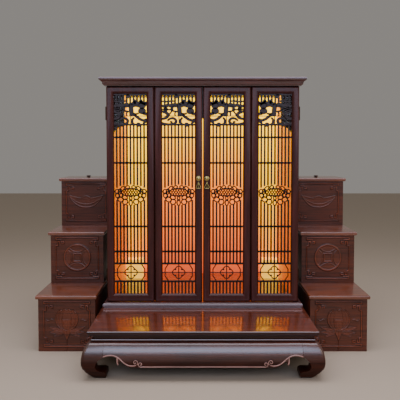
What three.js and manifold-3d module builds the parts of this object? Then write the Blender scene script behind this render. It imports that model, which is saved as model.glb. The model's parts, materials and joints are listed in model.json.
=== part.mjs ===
// A household altar cabinet with its low platform and a pair of stepped side stands.
//
// Millimetres, +Z up. The front looks along -Y and the origin lies on the floor, under the
// middle of the platform. Three matched pieces of furniture stand together:
//   the platform, a low table on scroll feet with a bulging carved apron,
//   the cabinet, a moulded case closed by two pairs of folding lattice doors,
//   the stands, one on each side, each a stack of three open boxes under moulded boards.
import * as THREE from 'three';
import { mergeVertices } from 'three/addons/utils/BufferGeometryUtils.js';
import Module from 'manifold-3d';

const wasm = await Module();
wasm.setup();

// Clearances
const jointGap = 0.3; // between two pieces that meet
const doorRearGap = 0.5; // between the closed doors and the case
const leafGap = 3; // between the two leaves of a folding pair
const centreGap = 4; // between the two pairs where they meet
const doorFootGap = 2; // under a door
const doorHeadGap = 3; // over a door

// Platform
const platformWidth = 900;
const platformDepth = 1000;
const platformTopThickness = 19;
const waistHeight = 15;
const beadHeight = 10;
const waistInset = 22;
const beadInset = 13;
const railThickness = 24;
const legHeight = 146;
const legWidth = 59;
const bulge = 22.5; // how far the apron and legs swell past the edge of the top
const shoulderInset = 6;
const apronHeight = 90;
const apronBackInset = 30;
const swellSteps = 10; // facets down the swelling face

// Cabinet case
const caseSetIn = 25; // from the end of the platform to the side of the case
const frontLedge = 357; // platform left free in front of the doors
const caseHeight = 959;
const caseWall = 20;
const backThickness = 12;
const baseHeight = 22;
const baseOverhang = 19.5;
const baseForward = 13;
const corniceHeight = 38;
const corniceOverhang = 28;
const corniceRecess = 18;
const valanceThickness = 12;
const valanceSetBack = 10;
const valanceArm = 56;
const valanceDrop = 226;
const valanceCove = 52; // height of the hollow round that ends an arm
const pendantHalfWidth = 28; // of the drop in the middle of the valance
const pendantDrop = 141;
const glowThickness = 8;
const glowSetBack = 4;
const lampWidth = 84;
const lampHeight = 98;
const lampWall = 3;
const lampFromBack = 48;
const lampFromSide = 5;

// Doors
const doorThickness = 22;
const stileWidth = 33;
const topRailWidth = 30;
const bottomRailWidth = 35;
const doorEdgeRound = 5;
const doorChamfer = 10;
const lipThickness = 8;
const rebateWidth = 6;
const latticeThickness = 7;
const glassThickness = 3;
const slotCount = 10;
const barWidth = 5.4;
const footBand = 55;
const coinBand = 80;
const cloudBand = 136;
const medallionShare = 0.501; // centre of the medallion, as a share of the opening's height
const medallionRise = 43;
const medallionFall = 54;

// Hinges and handles
const knuckleRadius = 3;
const knuckleOffset = 3.5; // from the wood to the axis of a hinge
const knuckleLength = 60; // of the hinges at the case
const knuckleInset = 116; // from the end of a door to the middle of such a hinge
const foldHingeInset = 12; // from the end of a door to the continuous hinge between two leaves
const hingePlate = 1.5;
const hingePlateWidth = 21;
const knobHeight = 553; // above the foot of the case
const knobRadius = 11;
const knobProjection = 7;
const pullDrop = 13; // from the middle of the knob down to the pivot of the pull
const pullLength = 33;
const pullHalfWidth = 11.5;
const pullThickness = 3;
const pullStandOff = 3.2;

// Stands
const standGap = 1.5; // between a stand and the swell of the platform
const standWidth = 252;
const standWall = 15;
const standBoard = 17;
const standOverhang = 10;
const standInnerOverhang = 6;
const standTread = 235;
const standLowerDepth = 696;
const standHeights = [251, 248, 245]; // each step from board to board
const reliefHeight = 3;
const reliefRise = 8; // of a carving above the middle of its box
const borderSide = 25; // from the edges of a box front to its border line
const borderFoot = 23;
const borderHead = 12;
const borderWidth = 4;
const lotusSize = 96;
const ingotHalfLength = 88;
const coinRadius = 65;
const lidKnobRadius = 12;
const lidKnobHeight = 10;
const lidKnobShare = 0.38; // of the depth of the topmost board, from its front

// Worked-out places
const halfPlatformWidth = platformWidth / 2;
const halfPlatformDepth = platformDepth / 2;
const platformHeight = legHeight + beadHeight + waistHeight + platformTopThickness;
const caseHalfWidth = halfPlatformWidth - caseSetIn;
const doorFront = -halfPlatformDepth + frontLedge;
const doorRear = doorFront + doorThickness;
const caseFront = doorRear + doorRearGap;
const caseBack = halfPlatformDepth;
const caseFoot = platformHeight + baseHeight;
const caseHead = caseFoot + caseHeight;
const leafWidth = (2 * caseHalfWidth - centreGap - 2 * leafGap) / 4;
const doorFoot = caseFoot + doorFootGap;
const doorHead = caseHead - doorHeadGap;
const openingWidth = leafWidth - 2 * stileWidth;
const openingFoot = doorFoot + bottomRailWidth;
const openingHeight = doorHead - topRailWidth - openingFoot;
const foldAxis = centreGap / 2 + leafWidth + leafGap / 2;
const standInner = halfPlatformWidth + bulge + standGap;
const standBack = halfPlatformDepth + bulge;

// Finishes
const stain = (colour, roughness) => new THREE.MeshStandardMaterial({ color: colour, roughness });
const rosewood = stain('#43252a', 0.35);
const platformWood = stain('#55302b', 0.3);
const walnut = stain('#553122', 0.45);
const brass = new THREE.MeshStandardMaterial({ color: '#b9ad72', roughness: 0.3, metalness: 1 });
const bronze = new THREE.MeshStandardMaterial({ color: '#4a3a2a', roughness: 0.4, metalness: 1 });
const glass = new THREE.MeshStandardMaterial({
  color: '#f2d9b0', roughness: 0.15, transparent: true, opacity: 0.35,
});
const amber = new THREE.MeshStandardMaterial({ color: '#f6b85a', roughness: 0.5 });
const frosted = new THREE.MeshStandardMaterial({ color: '#fff1c4', roughness: 0.5 });

// Geometry helpers

/** Indexed geometry from points and triangles, turned so that its faces point out. */
function indexed(points, faces) {
  let volume = 0;
  for (let i = 0; i < faces.length; i += 3) {
    const [a, b, c] = [faces[i], faces[i + 1], faces[i + 2]].map((n) => points[n]);
    volume += a[0] * (b[1] * c[2] - b[2] * c[1])
      + a[1] * (b[2] * c[0] - b[0] * c[2])
      + a[2] * (b[0] * c[1] - b[1] * c[0]);
  }
  const geometry = new THREE.BufferGeometry();
  geometry.setAttribute('position', new THREE.Float32BufferAttribute(points.flat(), 3));
  geometry.setIndex(volume < 0 ? [...faces].reverse() : faces);
  geometry.computeVertexNormals();
  return geometry;
}

/** Solid through a row of loops of equal count. Open ends are capped, a ring is closed. */
function loft(loops, section, ring = false) {
  const count = section.length;
  const faces = [];
  const spans = ring ? loops.length : loops.length - 1;
  for (let row = 0; row < spans; row += 1) {
    const here = row * count;
    const next = ((row + 1) % loops.length) * count;
    for (let i = 0; i < count; i += 1) {
      const j = (i + 1) % count;
      faces.push(here + i, here + j, next + j, here + i, next + j, next + i);
    }
  }
  if (!ring) {
    const turn = THREE.ShapeUtils.isClockWise(section) ? -1 : 1;
    const last = (loops.length - 1) * count;
    for (const [a, b, c] of THREE.ShapeUtils.triangulateShape(section, [])) {
      const [p, q, r] = [section[a], section[b], section[c]];
      const area = (q.x - p.x) * (r.y - p.y) - (q.y - p.y) * (r.x - p.x);
      const [s, t] = area * turn > 0 ? [b, c] : [c, b];
      faces.push(last + a, last + s, last + t, a, t, s);
    }
  }
  return indexed(loops.flat(), faces);
}

/** A manifold solid of a closed geometry. */
function solidOf(geometry) {
  const bare = geometry.clone();
  bare.deleteAttribute('normal');
  bare.deleteAttribute('uv');
  const merged = mergeVertices(bare, 1e-4);
  return new wasm.Manifold(new wasm.Mesh({
    numProp: 3,
    vertProperties: new Float32Array(merged.attributes.position.array),
    triVerts: new Uint32Array(merged.index.array),
  }));
}

/** The geometry of a manifold solid. */
function geometryOf(solid) {
  const mesh = solid.getMesh();
  const geometry = new THREE.BufferGeometry();
  geometry.setAttribute('position', new THREE.Float32BufferAttribute(mesh.vertProperties, 3));
  geometry.setIndex([...mesh.triVerts]);
  geometry.computeVertexNormals();
  return geometry;
}

function box(x0, x1, y0, y1, z0, z1) {
  const geometry = new THREE.BoxGeometry(x1 - x0, y1 - y0, z1 - z0);
  return geometry.translate((x0 + x1) / 2, (y0 + y1) / 2, (z0 + z1) / 2);
}

/** A shape drawn in X and Z, given thickness along Y from its front face. */
function panel(shape, front, thickness, curveSegments = 6) {
  const geometry = new THREE.ExtrudeGeometry(shape, { depth: thickness, bevelEnabled: false, curveSegments });
  return geometry.rotateX(Math.PI / 2).translate(0, front + thickness, 0);
}

/** A panel in X and Z with openings cut straight through it. */
function piercedPanel(points, holes, front, thickness) {
  const cut = (board, hole) => board.subtract(
    solidOf(panel(new THREE.Shape(hole), front - thickness, 3 * thickness)),
  );
  return geometryOf(holes.reduce(cut, solidOf(panel(new THREE.Shape(points), front, thickness))));
}

/** The same geometry on the other side of the plane X = 0. */
function mirrored(geometry) {
  const copy = geometry.index ? geometry.clone() : mergeVertices(geometry);
  copy.scale(-1, 1, 1);
  copy.setIndex([...copy.index.array].reverse());
  return copy;
}

/** Turns what is drawn in X and Y, with its thickness along Z, into Y and Z along X. */
const yzFromXy = new THREE.Matrix4().set(0, 0, 1, 0, 1, 0, 0, 0, 0, 1, 0, 0, 0, 0, 0, 1);

const onSide = (side, geometry) => (side < 0 ? mirrored(geometry) : geometry);

function polygon(points) {
  return points.map(([x, y]) => new THREE.Vector2(x, y));
}

function rectangle(x0, x1, z0, z1) {
  return polygon([[x0, z0], [x1, z0], [x1, z1], [x0, z1]]);
}

/** A board with a moulded edge: the profile is a list of [inset, height] from foot to head. */
function mouldedBoard(x0, x1, y0, y1, profile, flushBack = true) {
  const loops = profile.map(([inset, z]) => {
    const back = flushBack ? y1 : y1 - inset;
    return [[x0 + inset, y0 + inset, z], [x1 - inset, y0 + inset, z], [x1 - inset, back, z], [x0 + inset, back, z]];
  });
  return loft(loops, rectangle(0, 1, 0, 1));
}

const altar = new THREE.Group();

/** Adds a named piece to the model. */
function add(name, geometry, material, parent = altar) {
  const mesh = new THREE.Mesh(geometry, material);
  mesh.name = name;
  parent.add(mesh);
  return mesh;
}

// Platform

/** The four sides: name, turn about Z, half the run and the distance out to the top's edge. */
const platformSides = [
  ['front', 0, halfPlatformWidth, halfPlatformDepth],
  ['back', Math.PI, halfPlatformWidth, halfPlatformDepth],
  ['left', -Math.PI / 2, halfPlatformDepth, halfPlatformWidth],
  ['right', Math.PI / 2, halfPlatformDepth, halfPlatformWidth],
];

/** Swell of apron and leg: [share of the way down the leg, how far past the top's edge]. */
const swell = new THREE.SplineCurve(polygon([
  [0, -shoulderInset], [0.06, bulge * 0.18], [0.22, bulge * 0.72], [0.44, bulge], [0.62, bulge * 0.94],
  [0.76, bulge * 0.5], [0.87, -bulge * 0.05], [0.95, -bulge * 0.5], [1, -bulge * 0.9],
]));

/** Inner line of a leg as seen from the front, down to its curled toe: [share down, share of its width in]. */
const legInner = polygon([
  [0.35, 1.1], [0.41, 0.89], [0.49, 0.71], [0.6, 0.63], [0.7, 0.69], [0.76, 0.86], [0.775, 1.15], [0.83, 1.3],
  [0.93, 1.29], [1, 1.19],
]);

/** Lower edge of an apron near a leg: shares of its height, along from the leg and up from the straight edge. */
const apronEnd = [
  [1.14, 0], [0.96, 0.1], [0.78, 0.26], [0.74, 0.33], [0.7, 0.2], [0.63, 0.09], [0.6, 0.155], [0.61, 0.29],
  [0.57, 0.42], [0.42, 0.472], [0.27, 0.478], [0.13, 0.46], [0, 0.433],
];

/** Rail of waist and bead with mitred ends, which carries the top. */
function waistRail(halfRun, out) {
  const foot = legHeight + jointGap;
  const waistFoot = legHeight + beadHeight;
  const head = waistFoot + waistHeight - jointGap;
  const section = polygon([
    [-beadInset - 2, foot], [-beadInset, foot + beadHeight * 0.3], [-beadInset, waistFoot - beadHeight * 0.3],
    [-beadInset - 2.5, waistFoot], [-waistInset, waistFoot + 1.5], [-waistInset, head],
    [-waistInset - railThickness, head], [-waistInset - railThickness, foot],
  ]);
  const end = (side) => section.map(({ x, y }) => [side * (halfRun + x - jointGap), -(out + x), y]);
  return loft([end(-1), end(1)], section);
}

/** Apron: its swelling section, cut along the carved lower edge. */
function apron(halfRun, out) {
  const reach = halfRun - legWidth - shoulderInset - jointGap;
  const foot = legHeight - apronHeight;
  const face = swell.getPoints(swellSteps)
    .map(({ x, y }) => [y, legHeight * (1 - x)])
    .filter(([, z]) => z > foot - 12);
  const section = polygon([...face, [-apronBackInset, foot - 12], [-apronBackInset, legHeight]]);
  const end = (side) => section.map(({ x, y }) => [side * reach, -(out + x), y]);
  const edge = apronEnd.map(([along, up]) => [reach - along * apronHeight, foot + up * apronHeight]);
  const outline = new THREE.Shape(polygon([
    ...edge, [reach, legHeight], [-reach, legHeight], ...edge.map(([x, z]) => [-x, z]).reverse(),
  ]));
  const cutter = panel(outline, -(out + 2 * bulge), 2 * bulge + 2 * apronBackInset);
  return geometryOf(solidOf(loft([end(-1), end(1)], section)).intersect(solidOf(cutter)));
}

/** Leg of square section, swelling outside and curled inside, the same on both faces. */
function leg() {
  const outer = swell.getPoints(swellSteps).map(({ x, y }) => [y, legHeight * (1 - x)]);
  const inner = legInner.map(({ x, y }) => [-y * legWidth, legHeight * (1 - x)]).reverse();
  const outline = new THREE.Shape(polygon([...outer, ...inner, [-legWidth - shoulderInset, legHeight]]));
  const length = legHeight;
  const alongY = panel(outline, -length, 2 * length);
  const alongX = new THREE.ExtrudeGeometry(outline, { depth: 2 * length, bevelEnabled: false });
  alongX.translate(0, 0, -length).applyMatrix4(yzFromXy);
  return geometryOf(solidOf(alongY).intersect(solidOf(alongX)));
}

function buildPlatform() {
  const foot = platformHeight - platformTopThickness;
  const edge = [
    [7, foot], [2.5, foot + platformTopThickness * 0.22], [0, foot + platformTopThickness * 0.5],
    [0.6, platformHeight - platformTopThickness * 0.18], [2.2, platformHeight - 1], [5, platformHeight],
  ];
  add('platform_top', mouldedBoard(
    -halfPlatformWidth, halfPlatformWidth, -halfPlatformDepth, halfPlatformDepth, edge, false,
  ), platformWood);
  for (const [side, turn, halfRun, out] of platformSides) {
    add(`waist_${side}`, waistRail(halfRun, out), platformWood).rotation.z = turn;
    add(`apron_${side}`, apron(halfRun, out), platformWood).rotation.z = turn;
  }
  const corners = [
    ['back_right', 1, 1, 0], ['back_left', -1, 1, Math.PI / 2],
    ['front_left', -1, -1, Math.PI], ['front_right', 1, -1, -Math.PI / 2],
  ];
  for (const [corner, x, y, turn] of corners) {
    const mesh = add(`leg_${corner}`, leg(), platformWood);
    mesh.position.set(x * halfPlatformWidth, y * halfPlatformDepth, 0);
    mesh.rotation.z = turn;
  }
}

// Cabinet case

function buildBase() {
  const half = caseHalfWidth + baseOverhang;
  const foot = platformHeight + jointGap;
  const edge = [
    [0, foot], [0, foot + baseHeight * 0.6], [1.5, caseFoot - baseHeight * 0.27], [5, caseFoot - baseHeight * 0.2],
    [9, caseFoot - baseHeight * 0.13], [12, caseFoot],
  ];
  add('cabinet_base', mouldedBoard(-half, half, doorFront - baseForward, caseBack, edge), rosewood);
}

function buildCornice() {
  const half = caseHalfWidth + corniceOverhang;
  const foot = caseHead + jointGap;
  const head = caseHead + corniceHeight;
  const edge = [
    [0.75, 0], [0.71, 0.08], [0.55, 0.14], [0.48, 0.37], [0.39, 0.47], [0.14, 0.59], [0.04, 0.68], [0, 0.79],
    [0.04, 0.92], [0.14, 1],
  ].map(([inset, rise]) => [inset * corniceOverhang, foot + rise * (head - foot)]);
  const whole = solidOf(mouldedBoard(-half, half, doorFront - corniceOverhang, caseBack, edge));
  const inner = caseHalfWidth - caseWall;
  const recess = solidOf(box(
    -inner, inner, caseFront, caseBack - backThickness, foot - 1, caseHead + corniceRecess,
  ));
  add('cabinet_cornice', geometryOf(whole.subtract(recess)), rosewood);
}

/** Board behind the door heads: an arm down each side, ended by a hollow round, and a middle drop. */
function buildValance() {
  const half = caseHalfWidth - caseWall - jointGap;
  const head = caseHead + corniceRecess - jointGap;
  const openHead = doorHead - topRailWidth;
  const foot = caseHead - valanceDrop;
  const arm = half - valanceArm;
  const tip = caseHead - pendantDrop;
  const shape = new THREE.Shape();
  shape.moveTo(-half, head);
  shape.lineTo(-half, foot);
  shape.lineTo(-half + 4, foot);
  shape.quadraticCurveTo(-half + 8, foot + valanceCove - 4, -arm, foot + valanceCove);
  shape.lineTo(-arm, openHead);
  shape.lineTo(-pendantHalfWidth, openHead);
  shape.lineTo(-pendantHalfWidth, tip + pendantHalfWidth);
  shape.quadraticCurveTo(-pendantHalfWidth, tip, 0, tip);
  shape.quadraticCurveTo(pendantHalfWidth, tip, pendantHalfWidth, tip + pendantHalfWidth);
  shape.lineTo(pendantHalfWidth, openHead);
  shape.lineTo(arm, openHead);
  shape.lineTo(arm, foot + valanceCove);
  shape.quadraticCurveTo(half - 8, foot + valanceCove - 4, half - 4, foot);
  shape.lineTo(half, foot);
  shape.lineTo(half, head);
  add('cabinet_valance', panel(shape, caseFront + valanceSetBack, valanceThickness, 4), rosewood);
}

function buildCase() {
  buildBase();
  buildCornice();
  buildValance();
  const foot = caseFoot + jointGap;
  const inner = caseHalfWidth - caseWall;
  const backFront = caseBack - backThickness;
  for (const [name, side] of [['left', -1], ['right', 1]]) {
    const wall = box(inner, caseHalfWidth, caseFront, backFront - jointGap, foot, caseHead);
    add(`cabinet_side_${name}`, onSide(side, wall), rosewood);
    const lampOuter = inner - lampFromSide;
    const lampBack = backFront - glowSetBack - glowThickness - lampFromBack;
    const shell = solidOf(box(
      lampOuter - lampWidth, lampOuter, lampBack - lampWidth, lampBack, foot, foot + lampHeight,
    ));
    const hollow = solidOf(box(
      lampOuter - lampWidth + lampWall, lampOuter - lampWall, lampBack - lampWidth + lampWall, lampBack - lampWall,
      foot + lampWall, foot + lampHeight + 1,
    ));
    add(`lamp_${name}`, onSide(side, geometryOf(shell.subtract(hollow))), frosted);
  }
  add('cabinet_back', box(-caseHalfWidth, caseHalfWidth, backFront, caseBack, foot, caseHead), rosewood);
  add('glow_panel', box(
    -inner + jointGap, inner - jointGap, backFront - glowSetBack - glowThickness, backFront - glowSetBack,
    foot, caseHead,
  ), amber);
}

// Doors

/** Leaf frame about its own middle: a section carried round the four mitred sides. */
function leafFrame() {
  const half = leafWidth / 2;
  const widths = { side: stileWidth, foot: bottomRailWidth, head: topRailWidth };
  const lip = doorFront + lipThickness;
  const section = [
    { edge: 'outer', inset: 0, y: doorRear },
    { edge: 'outer', inset: 0, y: doorFront + doorEdgeRound },
    { edge: 'outer', inset: doorEdgeRound * 0.3, y: doorFront + doorEdgeRound * 0.3 },
    { edge: 'outer', inset: doorEdgeRound, y: doorFront },
    { edge: 'inner', inset: doorChamfer, y: doorFront },
    { edge: 'inner', inset: doorChamfer * 0.15, y: lip - 1.5 },
    { edge: 'inner', inset: 0, y: lip },
    { edge: 'inner', inset: rebateWidth, y: lip },
    { edge: 'inner', inset: rebateWidth, y: doorRear },
  ];
  const insetOf = (point, width) => (point.edge === 'outer' ? point.inset : width - point.inset);
  const corner = (horizontal, vertical) => section.map((point) => {
    const x = horizontal * (half - insetOf(point, widths.side));
    const z = vertical < 0 ? doorFoot + insetOf(point, widths.foot) : doorHead - insetOf(point, widths.head);
    return [x, point.y, z];
  });
  return loft([corner(-1, -1), corner(1, -1), corner(1, 1), corner(-1, 1)], section, true);
}

/** One row of upright slots between two heights. */
function slotRow(foot, head) {
  const pitch = (openingWidth + barWidth) / slotCount;
  return Array.from({ length: slotCount }, (_, index) => {
    const x0 = -openingWidth / 2 + index * pitch;
    const x1 = x0 + pitch - barWidth;
    return rectangle(x0, x1, foot((x0 + x1) / 2), head((x0 + x1) / 2));
  });
}

/** Openings of the flower medallion: a ring of petals round a solid seed head. */
function medallionHoles(centre) {
  const half = openingWidth / 2;
  const holes = [];
  const petals = 8;
  for (let index = 0; index < petals; index += 1) {
    const angle = ((index + 0.5) / petals) * 2 * Math.PI - Math.PI / 2;
    const reach = Math.sin(angle) > 0 ? medallionRise : medallionFall;
    const x = half * 0.72 * Math.cos(angle);
    const z = centre + reach * 0.64 * Math.sin(angle);
    const width = 8.5 + 3 * Math.abs(Math.sin(angle));
    const height = reach * 0.21;
    holes.push(polygon([[x - width, z], [x, z - height], [x + width, z], [x, z + height]]));
  }
  return holes;
}

/** Openings of the coin panel: a ring with a cross, in a frame with cut corners. */
function coinHoles(centre) {
  const side = openingWidth / 2;
  const top = coinBand / 2 - barWidth / 2;
  const bar = barWidth / 2;
  const frame = side * 0.87;
  const ring = coinBand * 0.375;
  const holes = [];
  for (const x of [-1, 1]) {
    for (const z of [-1, 1]) {
      const place = (points) => holes.push(polygon(points.map(([a, b]) => [x * a, centre + z * b])));
      place([[side, bar], [side, top], [frame * 0.82 + bar, top], [frame, top * 0.45], [frame, bar]]);
      place([
        [frame - barWidth, bar], [frame - barWidth, top * 0.42], [frame * 0.8 - bar, top], [bar, top],
        [bar, ring], [ring * 0.72, ring * 0.72], [ring, bar],
      ]);
      place([[bar, bar], [ring - barWidth, bar], [ring * 0.56, ring * 0.56], [bar, ring - barWidth]]);
    }
  }
  return holes;
}

/** Openings of the cloud panel at the head of a leaf: short slots over curling clouds. */
function cloudHoles(foot, head) {
  const half = openingWidth / 2;
  const height = head - foot;
  const at = (points) => points.map(([x, z]) => [x * half, foot + z * height]);
  const oneSide = [
    [[0.08, 0.7], [0.3, 0.66], [0.34, 0.98], [0.08, 0.98]],
    [[0.44, 0.62], [0.66, 0.74], [0.66, 0.98], [0.44, 0.98]],
    [[0.76, 0.56], [0.98, 0.62], [0.98, 0.98], [0.76, 0.98]],
    [[0.1, 0.34], [0.42, 0.3], [0.5, 0.46], [0.28, 0.56], [0.1, 0.52]],
    [[0.16, 0.04], [0.6, 0.06], [0.52, 0.2], [0.2, 0.22]],
    [[0.6, 0.32], [0.98, 0.06], [0.98, 0.46], [0.68, 0.46]],
  ];
  return oneSide.flatMap((points) => [polygon(at(points)), polygon(at(points.map(([x, z]) => [-x, z])))]);
}

/** Pierced lattice panel of a leaf, about the leaf's middle. */
function lattice() {
  const margin = rebateWidth - jointGap;
  const half = openingWidth / 2;
  const openingHead = openingFoot + openingHeight;
  const outline = rectangle(-half - margin, half + margin, openingFoot - margin, openingHead + margin);
  const coinFoot = openingFoot + footBand;
  const fieldFoot = coinFoot + coinBand;
  const cloudFoot = openingHead - cloudBand;
  const centre = openingFoot + openingHeight * medallionShare;
  const bulgeAt = (x) => Math.sqrt(Math.max(0, 1 - (x / (half * 1.04)) ** 2));
  const bar = barWidth / 2;
  const level = (height) => () => height;
  const holes = [
    ...slotRow(level(openingFoot), level(coinFoot - bar)),
    ...coinHoles((coinFoot + fieldFoot) / 2),
    ...slotRow(level(fieldFoot + bar), (x) => centre - medallionFall * bulgeAt(x)),
    ...medallionHoles(centre),
    ...slotRow((x) => centre + medallionRise * bulgeAt(x), level(cloudFoot - bar)),
    ...cloudHoles(cloudFoot, openingHead),
  ];
  return piercedPanel(outline, holes, doorFront + lipThickness + jointGap, latticeThickness);
}

function glassPane() {
  const half = openingWidth / 2 + rebateWidth - jointGap;
  const front = doorFront + lipThickness + latticeThickness + 2 * jointGap;
  const margin = rebateWidth - jointGap;
  return box(-half, half, front, front + glassThickness, openingFoot - margin, openingFoot + openingHeight + margin);
}

/** A knuckle with the plate that fixes it to the wood, which lies along +X from the axis. */
function hinge(length) {
  const knuckle = new THREE.CylinderGeometry(knuckleRadius, knuckleRadius, length, 8).rotateX(Math.PI / 2);
  const near = -knuckleOffset + jointGap;
  const plate = box(0, hingePlateWidth, near, near + hingePlate, -length / 2, length / 2);
  return geometryOf(solidOf(knuckle).add(solidOf(plate)));
}

/** Two short hinges at the case and one continuous hinge between the leaves, for each pair. */
function buildHinges() {
  const levels = [['lower', doorFoot + knuckleInset], ['upper', doorHead - knuckleInset]];
  for (const [name, side] of [['left', -1], ['right', 1]]) {
    for (const [level, height] of levels) {
      const outer = mirrored(hinge(knuckleLength).rotateZ(-Math.PI / 2)).rotateZ(Math.PI);
      outer.translate(caseHalfWidth + knuckleOffset, doorRear, height);
      add(`hinge_outer_${name}_${level}`, onSide(side, outer), bronze);
    }
    const fold = hinge(doorHead - doorFoot - 2 * foldHingeInset);
    fold.translate(foldAxis, doorRear + knuckleOffset, (doorFoot + doorHead) / 2);
    add(`hinge_fold_${name}`, onSide(side, fold), bronze);
  }
}

/** Domed knob on a round rose, turned about the axis that points out of the door. */
function knob() {
  const profile = polygon([
    [0, 0], [knobRadius, 0], [knobRadius, 1.8], [knobRadius * 0.78, 2.4], [knobRadius * 0.68, 4.2],
    [knobRadius * 0.42, knobProjection * 0.86], [0, knobProjection],
  ]);
  return new THREE.LatheGeometry(profile, 9).rotateX(Math.PI);
}

/** Bell-shaped drop with two long openings, hanging from its pivot. */
function pull() {
  const w = pullHalfWidth;
  const l = pullLength;
  const right = [
    [2.6, -0.6], [3, -l * 0.2], [w * 0.5, -l * 0.36], [w * 0.84, -l * 0.58], [w, -l * 0.86], [w * 0.72, -l * 0.97],
  ];
  const outline = polygon([...right, [0, -l], ...right.map(([x, z]) => [-x, z]).reverse()]);
  const slot = [[1.6, -l * 0.42], [w * 0.5, -l * 0.52], [w * 0.72, -l * 0.82], [1.6, -l * 0.86]];
  const slots = [-1, 1].map((side) => polygon(slot.map(([x, z]) => [side * x, z])));
  return piercedPanel(outline, slots, -pullThickness / 2, pullThickness);
}

function buildDoors() {
  const centres = { outer: foldAxis + leafGap / 2 + leafWidth / 2, inner: centreGap / 2 + leafWidth / 2 };
  for (const [name, side] of [['left', -1], ['right', 1]]) {
    for (const [place, centre] of Object.entries(centres)) {
      const pieces = [
        [`door_frame_${name}_${place}`, leafFrame(), rosewood],
        [`door_lattice_${name}_${place}`, lattice(), rosewood],
        [`door_glass_${name}_${place}`, glassPane(), glass],
      ];
      for (const [node, geometry, material] of pieces) {
        add(node, geometry, material).position.x = side * centre;
      }
    }
    const handle = side * (centreGap / 2 + stileWidth / 2);
    add(`knob_${name}`, knob(), brass).position.set(handle, doorFront - jointGap, caseFoot + knobHeight);
    add(`pull_${name}`, pull(), brass).position.set(
      handle, doorFront - pullStandOff - pullThickness / 2, caseFoot + knobHeight - pullDrop,
    );
  }
  buildHinges();
}

// Stands

/** A raised figure from an outline: it stands out of the front face and is let into it. */
function raised(points, front, height, holes = []) {
  const shape = new THREE.Shape(points);
  shape.holes = holes.map((hole) => new THREE.Path(hole));
  return solidOf(panel(shape, front - height, height + 1));
}

function ellipse(x, z, rx, rz, count, start = 0) {
  return Array.from({ length: count }, (_, index) => {
    const angle = start + (index / count) * 2 * Math.PI;
    return new THREE.Vector2(x + rx * Math.cos(angle), z + rz * Math.sin(angle));
  });
}

/** Raised border line round a box front. */
function borderLine(x0, x1, z0, z1, front) {
  const ring = (inset) => rectangle(
    x0 + borderSide + inset, x1 - borderSide - inset, z0 + borderFoot + inset, z1 - borderHead - inset,
  );
  return raised(ring(0), front, reliefHeight * 0.6, [ring(borderWidth)]);
}

/** A pointed petal of a given length and width, leaning by an angle from upright. */
function petal(x, z, length, width, lean) {
  const outline = [[0, 0], [0.48, 0.42], [0.36, 0.8], [0, 1], [-0.36, 0.8], [-0.48, 0.42]];
  return outline.map(([a, b]) => {
    const [u, v] = [a * width, b * length];
    return new THREE.Vector2(x + u * Math.cos(lean) + v * Math.sin(lean), z - u * Math.sin(lean) + v * Math.cos(lean));
  });
}

/** Lotus: fanned petals over a seed head, a short stem and two floating leaves. */
function lotusRelief(x, z, size, front) {
  const foot = z - size * 0.32;
  const figures = [raised(petal(x, foot, size * 1.04, size * 0.34, 0), front, reliefHeight)];
  [0.3, 0.6, 0.98].forEach((lean, row) => {
    for (const side of [-1, 1]) {
      const outline = petal(x, foot, size * (0.97 - 0.21 * row), size * 0.3, side * lean);
      figures.push(raised(outline, front, reliefHeight * (0.85 - 0.18 * row)));
    }
  });
  for (const side of [-1, 1]) {
    figures.push(raised(
      ellipse(x + side * size * 0.5, foot - size * 0.08, size * 0.28, size * 0.07, 8), front, reliefHeight * 0.5,
    ));
  }
  return figures;
}

/** Old coin: a rim, a square eye in a square frame, and four short arcs between them. */
function coinRelief(x, z, size, front) {
  const radius = size;
  const square = (half) => rectangle(x - half, x + half, z - half, z + half);
  const circle = (r) => ellipse(x, z, r, r, 16);
  const figures = [
    raised(circle(radius), front, reliefHeight, [circle(radius * 0.87)]),
    raised(square(radius * 0.34), front, reliefHeight, [square(radius * 0.2)]),
  ];
  for (let quarter = 0; quarter < 4; quarter += 1) {
    const middle = (quarter * Math.PI) / 2;
    const arc = (share, turn) => new THREE.Vector2(
      x + share * radius * Math.cos(middle + turn), z + share * radius * Math.sin(middle + turn),
    );
    const outline = [arc(0.6, -0.5), arc(0.72, -0.4), arc(0.72, 0.4), arc(0.6, 0.5), arc(0.62, 0)];
    figures.push(raised(outline, front, reliefHeight * 0.8));
  }
  return figures;
}

/** Ingot: a boat-shaped bar with raised ends and a domed middle. */
function ingotRelief(x, z, size, front) {
  const outline = [
    [-1, 0.38], [-0.62, 0.29], [-0.33, 0.21], [-0.19, 0.3], [0, 0.34], [0.19, 0.3], [0.33, 0.21], [0.62, 0.29],
    [1, 0.38], [0.93, 0.08], [0.6, -0.25], [0, -0.39], [-0.6, -0.25], [-0.93, 0.08],
  ];
  const points = outline.map(([a, b]) => new THREE.Vector2(x + a * size, z + b * size));
  return [raised(points, front, reliefHeight)];
}

/** One open box of a stand with its carved front. */
function standBox(x0, x1, front, back, foot, head, relief, size) {
  const shell = solidOf(box(x0, x1, front, back, foot, head));
  const hollow = solidOf(box(
    x0 + standWall, x1 - standWall, front + standWall, back - standWall, foot + standWall, head + 1,
  ));
  const figures = relief((x0 + x1) / 2, (foot + head) / 2 + reliefRise, size, front);
  const carved = [...figures, borderLine(x0, x1, foot, head, front)]
    .reduce((whole, figure) => whole.add(figure), shell);
  return geometryOf(carved.subtract(hollow));
}

/** Moulded board on a box. */
function standLid(x0, x1, front, foot) {
  const head = foot + standBoard - jointGap;
  const edge = [
    [2.5, foot], [0.4, foot + 3], [0, foot + standBoard * 0.5], [0.8, head - 3.5], [3, head - 0.8], [6, head],
  ];
  return mouldedBoard(x0 - standInnerOverhang, x1 + standOverhang, front - standOverhang, standBack, edge);
}

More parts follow.
